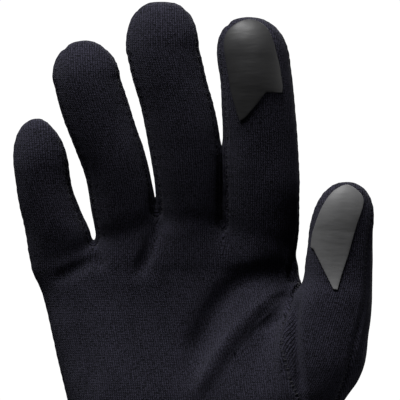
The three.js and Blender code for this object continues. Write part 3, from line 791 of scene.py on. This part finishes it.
def arc(dx, dy, wide, deep, square):
    """How far a place on a rounded section lies from its middle line, measured on the cloth."""
    ratios, turns = np.linspace(*ARC_RATIOS), np.linspace(0, math.pi, ARC_TURNS)
    sine, cosine = squared(np.sin(turns), square), squared(np.cos(turns), square)
    steps = np.hypot(np.diff(sine)[None], np.diff(cosine)[None] * ratios[:, None])
    lengths = np.concatenate([np.zeros((len(ratios), 1)), np.cumsum(steps, axis=1)], axis=1)
    spare = lengths - sine
    side = np.abs(dx / wide) ** (square / 2)
    ahead = np.abs(dy / deep) ** (square / 2) * np.sign(dy)
    level = np.arcsin(np.minimum(side, 0.9999))
    turn = lerp(level, np.arctan2(side, ahead), rising(side, *ARC_TURNING))
    turn = turn / math.pi * (len(turns) - 1)
    ratio = np.clip((deep / wide - ratios[0]) / (ratios[1] - ratios[0]), 0, len(ratios) - 1.001)
    i, j = ratio.astype(int), np.minimum(turn.astype(int), len(turns) - 2)
    s, t = ratio - i, turn - j
    low = lerp(spare[i, j], spare[i, j + 1], t)
    high = lerp(spare[i + 1, j], spare[i + 1, j + 1], t)
    return np.sign(dx) * (np.minimum(np.abs(dx), wide) + wide * lerp(low, high, s))


def palm_arc(x, y, z, side):
    left, right = along(PALM, "left", z), along(PALM, "right", z)
    deep = along(PALM, "depth", z) / 2
    dy = side * (y - along(PALM, "mid", z))
    return arc(x - (left + right) / 2, dy, (right - left) / 2, deep, PALM_SQUARE)


def digit_arc(name, x, y, z, side):
    rows = DIGITS[name]["rows"]
    wide = (along(rows, "right", z) - along(rows, "left", z)) / 2
    dy = side * (y - middle_of(name, z))
    return arc(x - centre_of(name, z), dy, wide, along(rows, "depth", z) / 2, DIGIT_SQUARE)


def cloth_places(points, panel):
    """Where each place of a panel lies on the flat cloth, in millimetres across and along."""
    x, y, z = points.T
    if panel.startswith("strip"):
        return np.stack([y - seam_depth(x, z), z], axis=1)
    side = 1 if panel == "back" else -1
    centre = (along(PALM, "left", z) + along(PALM, "right", z)) / 2
    across, up = palm_arc(x, y, z, side), z.copy()
    plain = rising(x, *PLAIN_FROM["x"]) * rising(z, *PLAIN_FROM["z"])
    across = lerp(across, x - centre, plain) + PALM_PLACE
    gaps = [gap_between(left, right, z) for left, right in zip(FINGERS, FINGERS[1:])]
    for name, low, high in zip(FINGERS, [-math.inf, *gaps], [*gaps, FORK_X]):
        mine = rising(z, KNUCKLES, KNUCKLES + FINGER_CLOTH_RISE) * ((x >= low) & (x < high))
        tip = DIGITS[name]["tip"]
        root = centre_of(name, np.array(KNUCKLES + FINGER_ROOT_RISE))
        length = tip["z"] - KNUCKLES
        lean = math.hypot(1, (tip["x"] - root) / length, tip["y"] / length)
        own = digit_arc(name, x, y, z, side) + root
        across = lerp(across, own, mine)
        up = lerp(up, KNUCKLES + (z - KNUCKLES) * lean, mine)
    thumb = digit_arc("thumb", x, y, z, side) + THUMB_PLACE
    if panel == "thumb":
        across = thumb
    elif panel == "back":
        mine = (x >= FORK_X) | (z < FORK_Z)
        turned = rising(z, *THUMB_CLOTH_FROM["z"]) * rising(x, *THUMB_CLOTH_FROM["x"])
        across = lerp(across, thumb, turned * mine)
    return np.stack([across, up], axis=1)


def sides_of(faces):
    """The three sides of each triangle, each as its lower and its higher point."""
    return np.sort(faces[:, [0, 1, 1, 2, 2, 0]].reshape(-1, 2), axis=1)


def evened(points, faces, rounds):
    """The points with the kinks between them eased, and the size kept."""
    sides = np.unique(sides_of(faces), axis=0)
    count = np.bincount(sides.ravel(), minlength=len(points))[:, None]
    for step in EASE_STEPS * rounds:
        total = np.zeros_like(points)
        for k in range(3):
            total[:, k] = np.bincount(sides[:, 0], points[sides[:, 1], k], len(points))
            total[:, k] += np.bincount(sides[:, 1], points[sides[:, 0], k], len(points))
        points = points + step * (total / np.maximum(count, 1) - points)
    return points


def seam_edges(faces, labels):
    """The edges where two panels meet."""
    sides, owner = sides_of(faces), np.repeat(labels, 3)
    order = np.lexsort((owner, sides[:, 1], sides[:, 0]))
    sides, owner = sides[order], owner[order]
    same = (sides[1:] == sides[:-1]).all(1) & (owner[1:] != owner[:-1])
    return sides[1:][same]


def away_from(points, places, most):
    """How far each point is from the nearest of some places, up to a limit."""
    tree = kdtree.KDTree(len(places))
    for i, place in enumerate(places):
        tree.insert(place, i)
    tree.balance()
    return np.minimum([tree.find(point)[2] for point in points], most)


@functools.cache
def skin():
    """The glove's outer skin, cut along its seams: its points, triangles, panels and seams."""
    lines_x, lines_y, lines_z = grid_lines()
    x, y, z = lines_x[:, None, :], lines_y[None, :, None], lines_z[None, None, :]
    field = glove_field(x, y, z, relief(x, z))
    places, rings = net_of(field)
    i, k = places[:, 0].astype(int), places[:, 2].astype(int)
    s, t = places[:, 0] - i, places[:, 2] - k
    low = lerp(lines_x[i, k], lines_x[i + 1, k], s)
    high = lerp(lines_x[i, k + 1], lines_x[i + 1, k + 1], s)
    places = np.array(GRID_LOW) + places * GRID_STEP
    points = settled(np.stack([lerp(low, high, t), places[:, 1], places[:, 2]], axis=1))
    faces = np.concatenate([rings[:, [0, 1, 2]], rings[:, [0, 2, 3]]])
    points, faces = cut(points, faces, points[:, 2] - PANEL_FOOT)
    faces = faces[points[faces][:, :, 2].mean(1) > PANEL_FOOT]
    for side in (-1, 1):
        part, half = (f(points[:, 0], points[:, 2]) for f in (seam_depth, strip_width))
        points, faces = cut(points, faces, points[:, 1] - part - side * half)
    front = points[:, 1] < seam_depth(points[:, 0], points[:, 2])
    front &= points[:, 2] > THUMB_SET_IN["z"][0]
    value = np.where(front, points[:, 0] - set_in_line(points[:, 2]), -FORK_X)
    points, faces = cut(points, faces, value)
    used, faces = np.unique(faces, return_inverse=True)
    points, faces = points[used], faces.reshape(-1, 3)
    labels = panel_at(points[faces].mean(1))
    foot = points[:, 2] < PANEL_FOOT + FOOT_KEPT
    points = np.where(foot[:, None], points, evened(points, faces, EASE_ROUNDS))
    return {"points": points, "faces": faces, "labels": labels, "seams": seam_edges(faces, labels)}


def touching(points):
    """How far two neighbouring fingers swell towards each other where they touch."""
    x, y, z = points.T
    rise = 0
    for left, right, full, gone, swell in TOUCHES:
        away = np.abs(x - gap_between(left, right, z))
        near = rising(away, *TOUCH_ACROSS) * rising(z, *TOUCH_FROM) * rising(z, gone, full)
        level = np.exp(-(((y - middle_of(left, z)) / TOUCH_DEEP) ** 2))
        rise = rise + swell * near * level
    return rise


def moved(points, normals):
    """How far the worn cloth stands off its plain form: waves, fine folds and the fingers' pads."""
    faced = np.clip(-normals[:, 1] * FACING, 0, 1)
    seen = points[:, 0], points[:, 2]
    stand = (folded(FINE_FOLDS, *seen) + swollen(PADS, *seen)) * faced
    for rise, sizes in WAVES:
        stand = stand + rise * np.array([noise.noise(place) for place in (points / sizes).tolist()])
    return stand


@functools.cache
def dressed():
    """The skin with its seam dips and puckers, its fine folds and the places where fingers touch."""
    made = dict(skin())
    points, faces, seams = made["points"], made["faces"], made["seams"]
    seam_points = points[seams]
    dense = np.concatenate([lerp(seam_points[:, 0], seam_points[:, 1], s) for s in SEAM_SHARES])
    away = away_from(points, dense, SEAM_REACH)
    groove = bpy.context.scene.glove_seams.groove / MM
    rise = -groove * np.exp(-((away / DIP_WIDTH) ** 2))
    rise += LIP["share"] * groove * np.exp(-(((away - LIP["away"]) / LIP["width"]) ** 2))
    x, _, z = points.T
    sway = PUCKERS["sway"] * np.sin(z / PUCKERS["drift"])
    pucker = np.sin(2 * math.pi * z / PUCKERS["pitch"] + sway + x / PUCKERS["lean"])
    rise += PUCKERS["rise"] * pucker * np.exp(-((away / PUCKERS["width"]) ** 2))
    made["normals"] = normals_of(points, faces)
    rise += moved(points, made["normals"]) + touching(points)
    made["points"] = points + made["normals"] * rise[:, None]
    return made


def mesh_object(name, points, faces, uv=None, edges=()):
    """A smooth mesh object from places in millimetres, with its cloth places as a UV map."""
    mesh = bpy.data.meshes.new(name)
    mesh.from_pydata((np.asarray(points) * MM).tolist(), list(edges), np.asarray(faces).tolist())
    mesh.update()
    if uv is not None:
        corners = np.empty(len(mesh.loops), int)
        mesh.loops.foreach_get("vertex_index", corners)
        layer = mesh.uv_layers.new(name="cloth")
        layer.data.foreach_set("uv", np.asarray(uv)[corners].ravel())
    mesh.polygons.foreach_set("use_smooth", [True] * len(mesh.polygons))
    made = bpy.data.objects.new(name, mesh)
    bpy.context.scene.collection.objects.link(made)
    return made


def finished(made, material, slot, *nodes):
    """Gives a piece its material and its body, and hides the nodes that it stands for. Its slot is not
    used.
    """
    made.data.materials.clear()
    made.data.materials.append(material)
    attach(made, "root")
    if nodes:
        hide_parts(*nodes)
    return made


def walled(made, thickness):
    """Gives a piece a wall behind its outer face."""
    wall = made.modifiers.new("wall", "SOLIDIFY")
    wall.thickness = thickness
    wall.offset = -1


def panel_piece(name, panel, *nodes):
    """One panel of the knit with its wall."""
    whole = dressed()
    mine = whole["faces"][whole["labels"] == PANELS.index(panel)]
    used, faces = np.unique(mine, return_inverse=True)
    uv = cloth_places(skin()["points"][used], panel)
    made = mesh_object(name, whole["points"][used], faces.reshape(-1, 3), uv)
    walled(made, bpy.context.scene.glove_cloth.wall)
    finished(made, knit_finish(), "knit", *nodes)


class Wire:
    """One output of a node. Python's operators on it add Math nodes to its tree."""

    def __init__(self, net, socket):
        self.net = net
        self.socket = socket

    def maths(self, operation, *others):
        return self.net.add("ShaderNodeMath", {"operation": operation}, self, *others)

    def __add__(self, other):
        return self.maths("ADD", other)

    def __sub__(self, other):
        return self.maths("SUBTRACT", other)

    def __rsub__(self, other):
        return self.net.add("ShaderNodeMath", {"operation": "SUBTRACT"}, other, self)

    def __mul__(self, other):
        return self.maths("MULTIPLY", other)

    def __truediv__(self, other):
        return self.maths("DIVIDE", other)

    def __pow__(self, other):
        return self.maths("POWER", other)

    def __abs__(self):
        return self.maths("ABSOLUTE")

    __radd__ = __add__
    __rmul__ = __mul__

    def __getitem__(self, name):
        return Wire(self.net, self.socket.node.outputs[name])


class Net:
    """A node tree that is written as calls and expressions."""

    def __init__(self, tree):
        self.tree = tree
        tree.nodes.clear()

    def add(self, kind, settings=None, *values, sockets=None):
        """A node with its settings made first, then its sockets by place or by name."""
        node = self.tree.nodes.new(kind)
        for name, value in (settings or {}).items():
            setattr(node, name, value)
        for place, value in [*enumerate(values), *(sockets or {}).items()]:
            if isinstance(value, Wire):
                self.tree.links.new(value.socket, node.inputs[place])
            elif value is not None:
                node.inputs[place].default_value = value
        return Wire(self, node.outputs[0]) if node.outputs else node

    def shades(self, share, colour, *scales):
        """A colour between two shades of one colour, each given as its scale."""
        dark, pale = ((*(c * scale for c in colour), 1) for scale in scales)
        mixed = self.add("ShaderNodeMix", {"data_type": "RGBA"}, sockets={0: share, 6: dark, 7: pale})
        return Wire(self, mixed.socket.node.outputs[2])

    def bump(self, height, strength, distance):
        sockets = {"Strength": strength, "Distance": distance, "Height": height}
        return self.add("ShaderNodeBump", None, sockets=sockets)

    def noise(self, place, scale, detail=2.0, **settings):
        return self.add(
            "ShaderNodeTexNoise", settings, sockets={"Vector": place, "Scale": scale, "Detail": detail}
        )

    def stretched(self, place, *scales):
        return self.add("ShaderNodeVectorMath", {"operation": "MULTIPLY"}, place, scales)


def finish_net(name):
    """A new material and its net."""
    material = bpy.data.materials.new(name)
    material.use_nodes = True
    return material, Net(material.node_tree)


def shaded(net, fixed, **linked):
    """The surface shader with its fixed numbers set and its linked sockets joined."""
    shader = net.add("ShaderNodeBsdfPrincipled", None, sockets={**fixed, **linked})
    net.add("ShaderNodeOutputMaterial", None, shader)


@functools.cache
def knit_finish():
    """Fine jersey: columns of small v stitches with painted shade in their grooves and painted
    highlights on their tops, uneven yarn, a light nap and a little lint.
    """
    cloth = bpy.context.scene.glove_cloth
    material, net = finish_net("jersey")
    place = net.add("ShaderNodeUVMap", {"uv_map": "cloth"})
    flat = net.add("ShaderNodeSeparateXYZ", None, place)
    drift = net.noise(net.stretched(place, 0.12, 0.05, 1), 1.0) - 0.5
    wale = flat["X"] / (cloth.wale / MM) + drift * KNIT_DRIFT[0]
    course = flat["Y"] / (cloth.course / MM) + drift * KNIT_DRIFT[1]
    # A column is a row of v stitches: two legs that lean towards its raised middle.
    centre = abs(wale.maths("FRACT") - 0.5)
    leg = 1 - (centre * 4 - 1) ** 2
    turn = (course + centre * 1.5).maths("FRACT")
    yarn = 1 - (turn * 2 - 1) ** 2
    column = 1 - (centre * 2) ** 2.5
    height = (leg * 0.35 + column * 0.65) * (yarn * 0.5 + 0.5)
    uneven = {
        "yarns": net.noise(net.stretched(place, 1.3, 0.35, 1), 1.0, 3.0),
        "cloudy": net.noise(place, 0.11, 3.0),
        "nap": net.noise(place, 1.3, 4.0),
        "fleck": net.noise(net.stretched(place, 1.0, 0.8, 1), 2.2, 1.0),
    }
    # The stitches' relief is also painted into the colour: painted shade in the grooves between them
    # and a painted highlight on their raised middles.
    light = height * KNIT_LIGHT["stitch"]
    for part, level in uneven.items():
        light = light + (level - 0.5) * KNIT_LIGHT[part]
    # Lint is the few highest places of a noise of its own.
    lint = (net.noise(place, 0.9, 1.0) - LINT_FROM).maths("MAXIMUM", 0.0) * LINT_LIGHT
    light = light + lint - KNIT_BASE
    colour = net.shades(light * 0.5, cloth.colour, *KNIT_SHADES)
    rough = 0.98 - height * 0.12
    bump = net.bump(height + uneven["nap"] * 0.7 + uneven["yarns"] * 0.6, 1.0, 0.0003)
    fixed = {
        "Specular IOR Level": 0.06,
        "Sheen Weight": cloth.sheen,
        "Sheen Roughness": 0.55,
        "Sheen Tint": (0.8, 0.82, 1.0, 1),
    }
    shaded(net, fixed, **{"Base Color": colour, "Roughness": rough, "Normal": bump})
    return material


@functools.cache
def thread_finish():
    """Spun polyester thread, a little smoother than the knit."""
    colour = tuple(c * 1.3 for c in bpy.context.scene.glove_cloth.colour)
    material, net = finish_net("thread")
    place = net.add("ShaderNodeTexCoord", None)["Object"]
    spin = net.noise(net.stretched(place, 1, 1, 3), 2600, 2.0)
    mixed = net.shades(spin, colour, 0.6, 1.5)
    bump = net.bump(spin, 0.5, 0.00005)
    linked = {"Base Color": mixed, "Roughness": spin * 0.2 + 0.6, "Normal": bump}
    shaded(net, {"Sheen Weight": 0.1}, **linked)
    return material


def film_finish(name, colour, rough):
    """Smooth pliant film with faint creases and rubbed patches."""
    material, net = finish_net(name)
    place = net.add("ShaderNodeTexCoord", None)["Object"]
    cloudy = net.noise(place, 90, 3.0)
    crease = net.noise(net.stretched(place, 0.6, 1, 2.2), 160, 2.0)
    grain = net.noise(place, 2400, 2.0)
    shade = (cloudy - 0.5) * 0.5 + (grain - 0.5) * 0.25 + 0.5
    mixed = net.shades(shade, colour, 0.8, 1.2)
    bump = net.bump(crease + grain * 0.06, 0.5, 0.0003)
    linked = {"Base Color": mixed, "Roughness": cloudy * 0.14 + rough, "Normal": bump}
    shaded(net, {"Specular IOR Level": 0.3}, **linked)
    return material


def smooth_run(places, steps):
    """Points on a smooth curve through a list of places."""
    places = [np.array(place) for place in places]
    ends = [2 * places[0] - places[1], *places, 2 * places[-1] - places[-2]]
    run = []
    for a, b, c, d in zip(ends, ends[1:], ends[2:], ends[3:]):
        bend, twist = 2 * a - 5 * b + 4 * c - d, 3 * b - a - 3 * c + d
        for t in np.linspace(0, 1, steps, endpoint=False):
            run.append(0.5 * (2 * b + (c - a) * t + bend * t**2 + twist * t**3))
    return [*run, ends[-2]]


def inside_outline(places, outline):
    """Which places lie inside a closed outline."""
    x, z = places.T
    inside = np.zeros(len(places), bool)
    for (ax, az), (bx, bz) in zip(outline, np.roll(outline, -1, axis=0)):
        spans = (az > z) != (bz > z)
        inside ^= spans & (x < (bx - ax) * (z - az) / (bz - az + 1e-12) + ax)
    return inside


def film_piece(digit, patch, material):
    """A thin film over the front of a fingertip, inside its patch's outline."""
    films = bpy.context.scene.glove_films
    name = f"{digit}_film"
    rim = np.array([*smooth_run(patch["flowing"], FILM_CURVE_STEPS), *patch["cut"]])
    line = []
    for a, b in zip(rim, np.roll(rim, -1, axis=0)):
        count = max(1, round(np.linalg.norm(b - a) / FILM_EDGE_STEP))
        line += [lerp(a, b, k / count) for k in range(count)]
    line = np.array(line)
    low, high = line.min(0), line.max(0)
    mesh_x, mesh_z = np.meshgrid(*(np.arange(a, b, FILM_GRID_STEP) for a, b in zip(low, high)))
    field = np.stack([mesh_x.ravel(), mesh_z.ravel()], axis=1)
    field = field[inside_outline(field, line)]
    near = away_from(*(np.c_[flat, np.zeros(len(flat))] for flat in (field, line)), math.inf)
    field = field[near > FILM_CLEAR]
    places = [Vector(p) for p in [*line, *field]]
    ring = [(i, (i + 1) % len(line)) for i in range(len(line))]
    flat, _, faces, *_ = delaunay_2d_cdt(places, ring, [], 1, 1e-5)
    flat = np.array([tuple(p) for p in flat])
    rows = DIGITS[digit]["rows"]
    x, z = flat.T
    y = middle_of(digit, z) - 0.5 * along(rows, "depth", z)
    points = np.stack([x, y, z], axis=1)
    for _ in range(FILM_ROUNDS):
        value, slope = slope_of(points)
        step = value / np.minimum(slope[:, 1], FILM_SLOPE_MOST)
        points[:, 1] -= np.clip(step, -FILM_STEP_MOST, FILM_STEP_MOST)
    slope = slope_of(points)[1]
    outwards = slope / np.linalg.norm(slope, axis=1, keepdims=True)
    level = lerp(FILM_EDGE_LIFT, 1, np.clip(-outwards[:, 1] * FACING, 0, 1))
    lift = films.lift / MM * level + moved(points, outwards)
    points = points + outwards * lift[:, None]
    made = mesh_object(name, points, [face[::-1] for face in faces])
    walled(made, films.thick)
    edge = made.modifiers.new("edge", "BEVEL")
    edge.width = FILM_BEVEL * MM
    edge.segments = 2
    edge.limit_method = "ANGLE"
    finished(made, material, name, f"{digit}_touch_patch")


def hem_ring(out, z):
    """Places round the hem at a height, this far outside the palm's plain form."""
    turns = np.linspace(0, 2 * math.pi, HEM_SIDES, endpoint=False)
    left, right = along(PALM, "left", z), along(PALM, "right", z)
    near = math.exp(-(((z - HEM_LINE) / HEM_PUCKERS["width"]) ** 2))
    press = HEM_PUCKERS["rise"] * np.sin(turns * HEM_PUCKERS["count"]) * near
    wave = HEM_WAVES["rise"] * np.sin(turns * HEM_WAVES["count"] + HEM_WAVES["turn"])
    grow = out + press + wave
    cosine, sine = squared(np.cos(turns), PALM_SQUARE), squared(np.sin(turns), PALM_SQUARE)
    x = (left + right) / 2 + ((right - left) / 2 + grow) * cosine
    y = along(PALM, "mid", z) + (along(PALM, "depth", z) / 2 + grow) * sine
    return np.stack([x, y, np.full_like(x, z)], axis=1)


def hem_piece():
    """The turned hem: one closed band whose fold is round and whose inner layer stands higher."""
    outer, inner = HEM_EXTRA, -bpy.context.scene.glove_cloth.wall / MM
    mid, half = (outer + inner) / 2, (outer - inner) / 2
    turns = np.linspace(0, math.pi, HEM_FOLD_STEPS)[-2::-1]
    rows = [(mid + half * math.cos(a), half - half * math.sin(a)) for a in turns]
    rows += [(outer + by, z) for by, z in HEM_OUTSIDE] + [(inner + by, z) for by, z in HEM_INSIDE]
    points, uv = [], []
    for by, z in rows:
        ring = hem_ring(by, z)
        length = np.concatenate([[0], np.cumsum(np.hypot(*np.diff(ring[:, :2], axis=0).T))])
        points.append(ring)
        uv.append(np.stack([length, np.full_like(length, z + (HEM_LAP if by < mid else 0))], axis=1))
    points, uv = np.concatenate(points), np.concatenate(uv)
    place = np.arange(len(points)).reshape(len(rows), HEM_SIDES)
    above, beside = np.roll(place, -1, axis=0), np.roll(place, -1, axis=1)
    faces = np.stack([place, beside, np.roll(above, -1, axis=1), above], axis=2).reshape(-1, 4)
    made = mesh_object("wrist_hem_knit", points, faces, uv)
    finished(made, knit_finish(), "knit", "wrist_hem")


def stitch_tree():
    """Geometry nodes: small thread bows set in a row along each line of a mesh."""
    tree = bpy.data.node_groups.new("stitches", "GeometryNodeTree")
    net = Net(tree)
    sizes = dict.fromkeys(("Spacing", "Length", "Thread", "Rise", "Turn"), "Float")
    wanted = {"Geometry": "Geometry", **sizes, "Seed": "Int", "Material": "Material"}
    for name, kind in wanted.items():
        tree.interface.new_socket(name=name, in_out="INPUT", socket_type=f"NodeSocket{kind}")
    tree.interface.new_socket(name="Geometry", in_out="OUTPUT", socket_type="NodeSocketGeometry")
    given = net.add("NodeGroupInput")
    line = net.add("GeometryNodeMeshToCurve", None, given["Geometry"])
    spaced = {"Curve": line, "Length": given["Spacing"]}
    row = net.add("GeometryNodeResampleCurve", {"mode": "LENGTH"}, sockets=spaced)
    half = given["Length"] * 0.5
    start = net.add("ShaderNodeCombineXYZ", None, 0.0, half * -1, given["Rise"] * -1)
    top = net.add("ShaderNodeCombineXYZ", None, 0.0, 0.0, given["Rise"] * 2)
    end = net.add("ShaderNodeCombineXYZ", None, 0.0, half, given["Rise"] * -1)
    bow = net.add("GeometryNodeCurveQuadraticBezier", None, STITCH_STEPS, start, top, end)
    round_section = net.add("GeometryNodeCurvePrimitiveCircle", None, THREAD_SIDES)
    net.tree.links.new((given["Thread"] * 0.5).socket, round_section.socket.node.inputs["Radius"])
    stitch = net.add("GeometryNodeCurveToMesh", None, bow, round_section)
    stitch.socket.node.inputs["Fill Caps"].default_value = True
    tangent = net.add("GeometryNodeInputTangent")
    facing = net.add("GeometryNodeInputNamedAttribute", {"data_type": "FLOAT_VECTOR"}, "facing")
    rotation = net.add(
        "FunctionNodeAxesToRotation", {"primary_axis": "Z", "secondary_axis": "X"}, facing, tangent
    )
    jitter = net.add(
        "FunctionNodeRandomValue",
        {"data_type": "FLOAT"},
        sockets={2: -STITCH_SKEW, 3: STITCH_SKEW, "Seed": given["Seed"]},
    )
    jitter = Wire(net, jitter.socket.node.outputs[1])
    turned = net.add("ShaderNodeCombineXYZ", None, 0.0, 0.0, jitter + given["Turn"])
    rotation = net.add("FunctionNodeRotateRotation", {"rotation_space": "LOCAL"}, rotation, turned)
    placed = {"Points": row, "Instance": stitch, "Rotation": rotation}
    rows = net.add("GeometryNodeInstanceOnPoints", None, sockets=placed)
    real = net.add("GeometryNodeRealizeInstances", None, rows)
    smooth = net.add("GeometryNodeSetShadeSmooth", None, real)
    finish = {"Geometry": smooth, "Material": given["Material"]}
    thread = net.add("GeometryNodeSetMaterial", None, sockets=finish)
    net.add("NodeGroupOutput", None, thread)
    return tree


def stitched(name, points, edges, facing, **wanted):
    """A row of stitches along each line, made by the stitch tree and turned into a plain mesh."""
    lines = mesh_object(name + "_lines", points, [], edges=np.asarray(edges).tolist())
    facing_layer = lines.data.attributes.new("facing", "FLOAT_VECTOR", "POINT")
    facing_layer.data.foreach_set("vector", np.asarray(facing, np.float32).ravel())
    tree = bpy.data.node_groups.get("stitches") or stitch_tree()
    maker = lines.modifiers.new("stitches", "NODES")
    maker.node_group = tree
    seams = bpy.context.scene.glove_seams
    values = {"Thread": seams.thread, "Rise": seams.thread * STITCH_RISE, "Seed": seams.seed}
    values = {**values, "Material": thread_finish(), **wanted}
    for item in tree.interface.items_tree:
        if item.in_out == "INPUT" and item.name in values:
            maker[item.identifier] = values[item.name]
    scene_graph = bpy.context.evaluated_depsgraph_get()
    mesh = bpy.data.meshes.new_from_object(lines.evaluated_get(scene_graph))
    mesh.name = name
    made = bpy.data.objects.new(name, mesh)
    bpy.context.scene.collection.objects.link(made)
    bpy.data.objects.remove(lines)
    return finished(made, thread_finish(), "knit")


class GLOVE_OT_palm(bpy.types.Operator):
    """Makes the knit over the palm and the fronts of the fingers"""

    bl_idname = "glove.palm"
    bl_label = "Palm panel"

    def execute(self, context):
        panel_piece("palm_knit", "palm", "palm_panel")
        return {"FINISHED"}


class GLOVE_OT_back(bpy.types.Operator):
    """Makes the knit over the back of the hand and of all digits"""

    bl_idname = "glove.back"
    bl_label = "Back panel"

    def execute(self, context):
        panel_piece("back_knit", "back", "back_panel")
        return {"FINISHED"}


class GLOVE_OT_thumb(bpy.types.Operator):
    """Makes the knit that is set in over the front of the thumb"""

    bl_idname = "glove.thumb"
    bl_label = "Thumb panel"

    def execute(self, context):
        panel_piece("thumb_knit", "thumb", "thumb_panel")
        return {"FINISHED"}


class GLOVE_OT_fourchettes(bpy.types.Operator):
    """Makes the narrow strips between neighbouring fingers"""

    bl_idname = "glove.fourchettes"
    bl_label = "Fourchettes"

    def execute(self, context):
        for left, right in zip(FINGERS, FINGERS[1:]):
            pair = f"{left}_{right}"
            panel_piece(f"fourchette_{pair}_knit", f"strip_{pair}", f"fourchette_{pair}")
        return {"FINISHED"}


class GLOVE_OT_hem(bpy.types.Operator):
    """Makes the turned hem at the wrist"""

    bl_idname = "glove.hem"
    bl_label = "Wrist hem"

    def execute(self, context):
        hem_piece()
        return {"FINISHED"}


class GLOVE_OT_films(bpy.types.Operator):
    """Makes the smooth touch patches on index finger and thumb"""

    bl_idname = "glove.films"
    bl_label = "Touch patches"

    def execute(self, context):
        for digit, patch in PATCHES.items():
            # The thumb patch's paler colour is painted light for the light that falls on it more fully.
            colour = getattr(context.scene.glove_films, f"{digit}_colour")
            film_piece(digit, patch, film_finish(f"{digit}_film", colour, patch["rough"]))
        return {"FINISHED"}


class GLOVE_OT_seams(bpy.types.Operator):
    """Sews the seams with small bows of thread"""

    bl_idname = "glove.seams"
    bl_label = "Seam thread"

    def execute(self, context):
        seams = context.scene.glove_seams
        whole = dressed()
        used, edges = np.unique(whole["seams"], return_inverse=True)
        stitched(
            "seam_stitches",
            whole["points"][used],
            edges.reshape(-1, 2),
            whole["normals"][used],
            Spacing=seams.spacing,
            Length=seams.stitch,
            Turn=0.0,
        )
        row = hem_ring(HEM_EXTRA - HEM_DIP, HEM_LINE)
        run = np.roll(row, -1, axis=0) - np.roll(row, 1, axis=0)
        places = np.arange(HEM_SIDES)
        outwards = np.stack([run[:, 1], -run[:, 0], 0 * places], axis=1)
        stitched(
            "hem_stitches",
            row,
            np.stack([places, np.roll(places, -1)], axis=1),
            outwards / np.linalg.norm(run, axis=1)[:, None],
            Spacing=seams.hem_spacing,
            Length=seams.hem_stitch,
            Turn=math.pi / 2,
        )
        return {"FINISHED"}


class GLOVE_OT_studio(bpy.types.Operator):
    """Sets the pale floor, the soft lights and the camera"""

    bl_idname = "glove.studio"
    bl_label = "Studio"

    def execute(self, context):
        studio = context.scene.glove_studio
        bpy.ops.mesh.primitive_circle_add(
            vertices=96, radius=FLOOR_RADIUS, fill_type="NGON", location=(0, 0, -MM)
        )
        floor = context.object
        floor.name = "floor"
        material, net = finish_net("floor")
        place = net.add("ShaderNodeTexCoord", None)["Object"]
        cloudy = net.noise(place, 3.0, 2.0)
        pale = tuple(studio.floor_colour)
        mixed = net.shades(cloudy, pale, 0.98, 1)
        fixed = {"Roughness": 0.9, "Emission Color": (*pale, 1), "Emission Strength": FLOOR_GLOW}
        shaded(net, fixed, **{"Base Color": mixed})
        floor.data.materials.append(material)
        floor.visible_diffuse = False
        floor.visible_glossy = False
        for name, (place, size) in LAMPS.items():
            light = bpy.data.lights.new(name, "AREA")
            light.size = size
            light.energy = getattr(studio, f"{name}_light")
            lamp = bpy.data.objects.new(name, light)
            lamp.location = place
            lamp.visible_camera = False
            lamp.rotation_mode = "QUATERNION"
            lamp.rotation_quaternion = (Vector(LIT_PLACE) - Vector(place)).to_track_quat("-Z", "Y")
            context.scene.collection.objects.link(lamp)
        world = bpy.data.worlds.new("studio")
        world.use_nodes = True
        context.scene.world = world
        net = Net(world.node_tree)
        seen = net.add("ShaderNodeLightPath", None)["Is Camera Ray"]
        strength = seen * (BACKDROP - studio.surround) + studio.surround
        white = net.add("ShaderNodeBackground", None, (1, 1, 1, 1), strength)
        net.add("ShaderNodeOutputWorld", None, white)
        context.scene.view_settings.view_transform = "Standard"
        camera = bpy.data.cameras.new("camera")
        camera.sensor_width = 36
        camera.lens = camera.sensor_width * studio.distance / FRAME_WIDTH
        camera.clip_end = 20
        eye = bpy.data.objects.new("camera", camera)
        eye.location = (FRAME_CENTRE[0], -studio.distance, FRAME_CENTRE[1])
        eye.rotation_euler = (math.pi / 2, 0, 0)
        context.scene.collection.objects.link(eye)
        context.scene.camera = eye
        return {"FINISHED"}


class GLOVE_PT_pieces(bpy.types.Panel):
    """The glove's pieces and sizes"""

    bl_label = "Glove"
    bl_idname = "GLOVE_PT_pieces"
    bl_space_type = "VIEW_3D"
    bl_region_type = "UI"
    bl_category = "Glove"

    def draw(self, context):
        for piece in OPERATORS:
            self.layout.operator(piece.bl_idname)
        for name, group in GROUPS.items():
            box = self.layout.box()
            for prop in group.__annotations__:
                box.prop(getattr(context.scene, name), prop)


GROUPS = {
    "glove_cloth": GloveCloth,
    "glove_seams": GloveSeams,
    "glove_films": GloveFilms,
    "glove_studio": GloveStudio,
}
OPERATORS = (
    GLOVE_OT_palm,
    GLOVE_OT_back,
    GLOVE_OT_thumb,
    GLOVE_OT_fourchettes,
    GLOVE_OT_hem,
    GLOVE_OT_films,
    GLOVE_OT_seams,
    GLOVE_OT_studio,
)


def register():
    for kind in (*GROUPS.values(), *OPERATORS, GLOVE_PT_pieces):
        bpy.utils.register_class(kind)
    for name, group in GROUPS.items():
        setattr(bpy.types.Scene, name, PointerProperty(type=group))


def unregister():
    for name in GROUPS:
        delattr(bpy.types.Scene, name)
    for kind in (GLOVE_PT_pieces, *reversed(OPERATORS), *reversed(list(GROUPS.values()))):
        bpy.utils.unregister_class(kind)


def main():
    register()
    for piece in OPERATORS:
        getattr(bpy.ops.glove, piece.bl_idname.split(".")[1])()


if __name__ == "__main__":
    main()
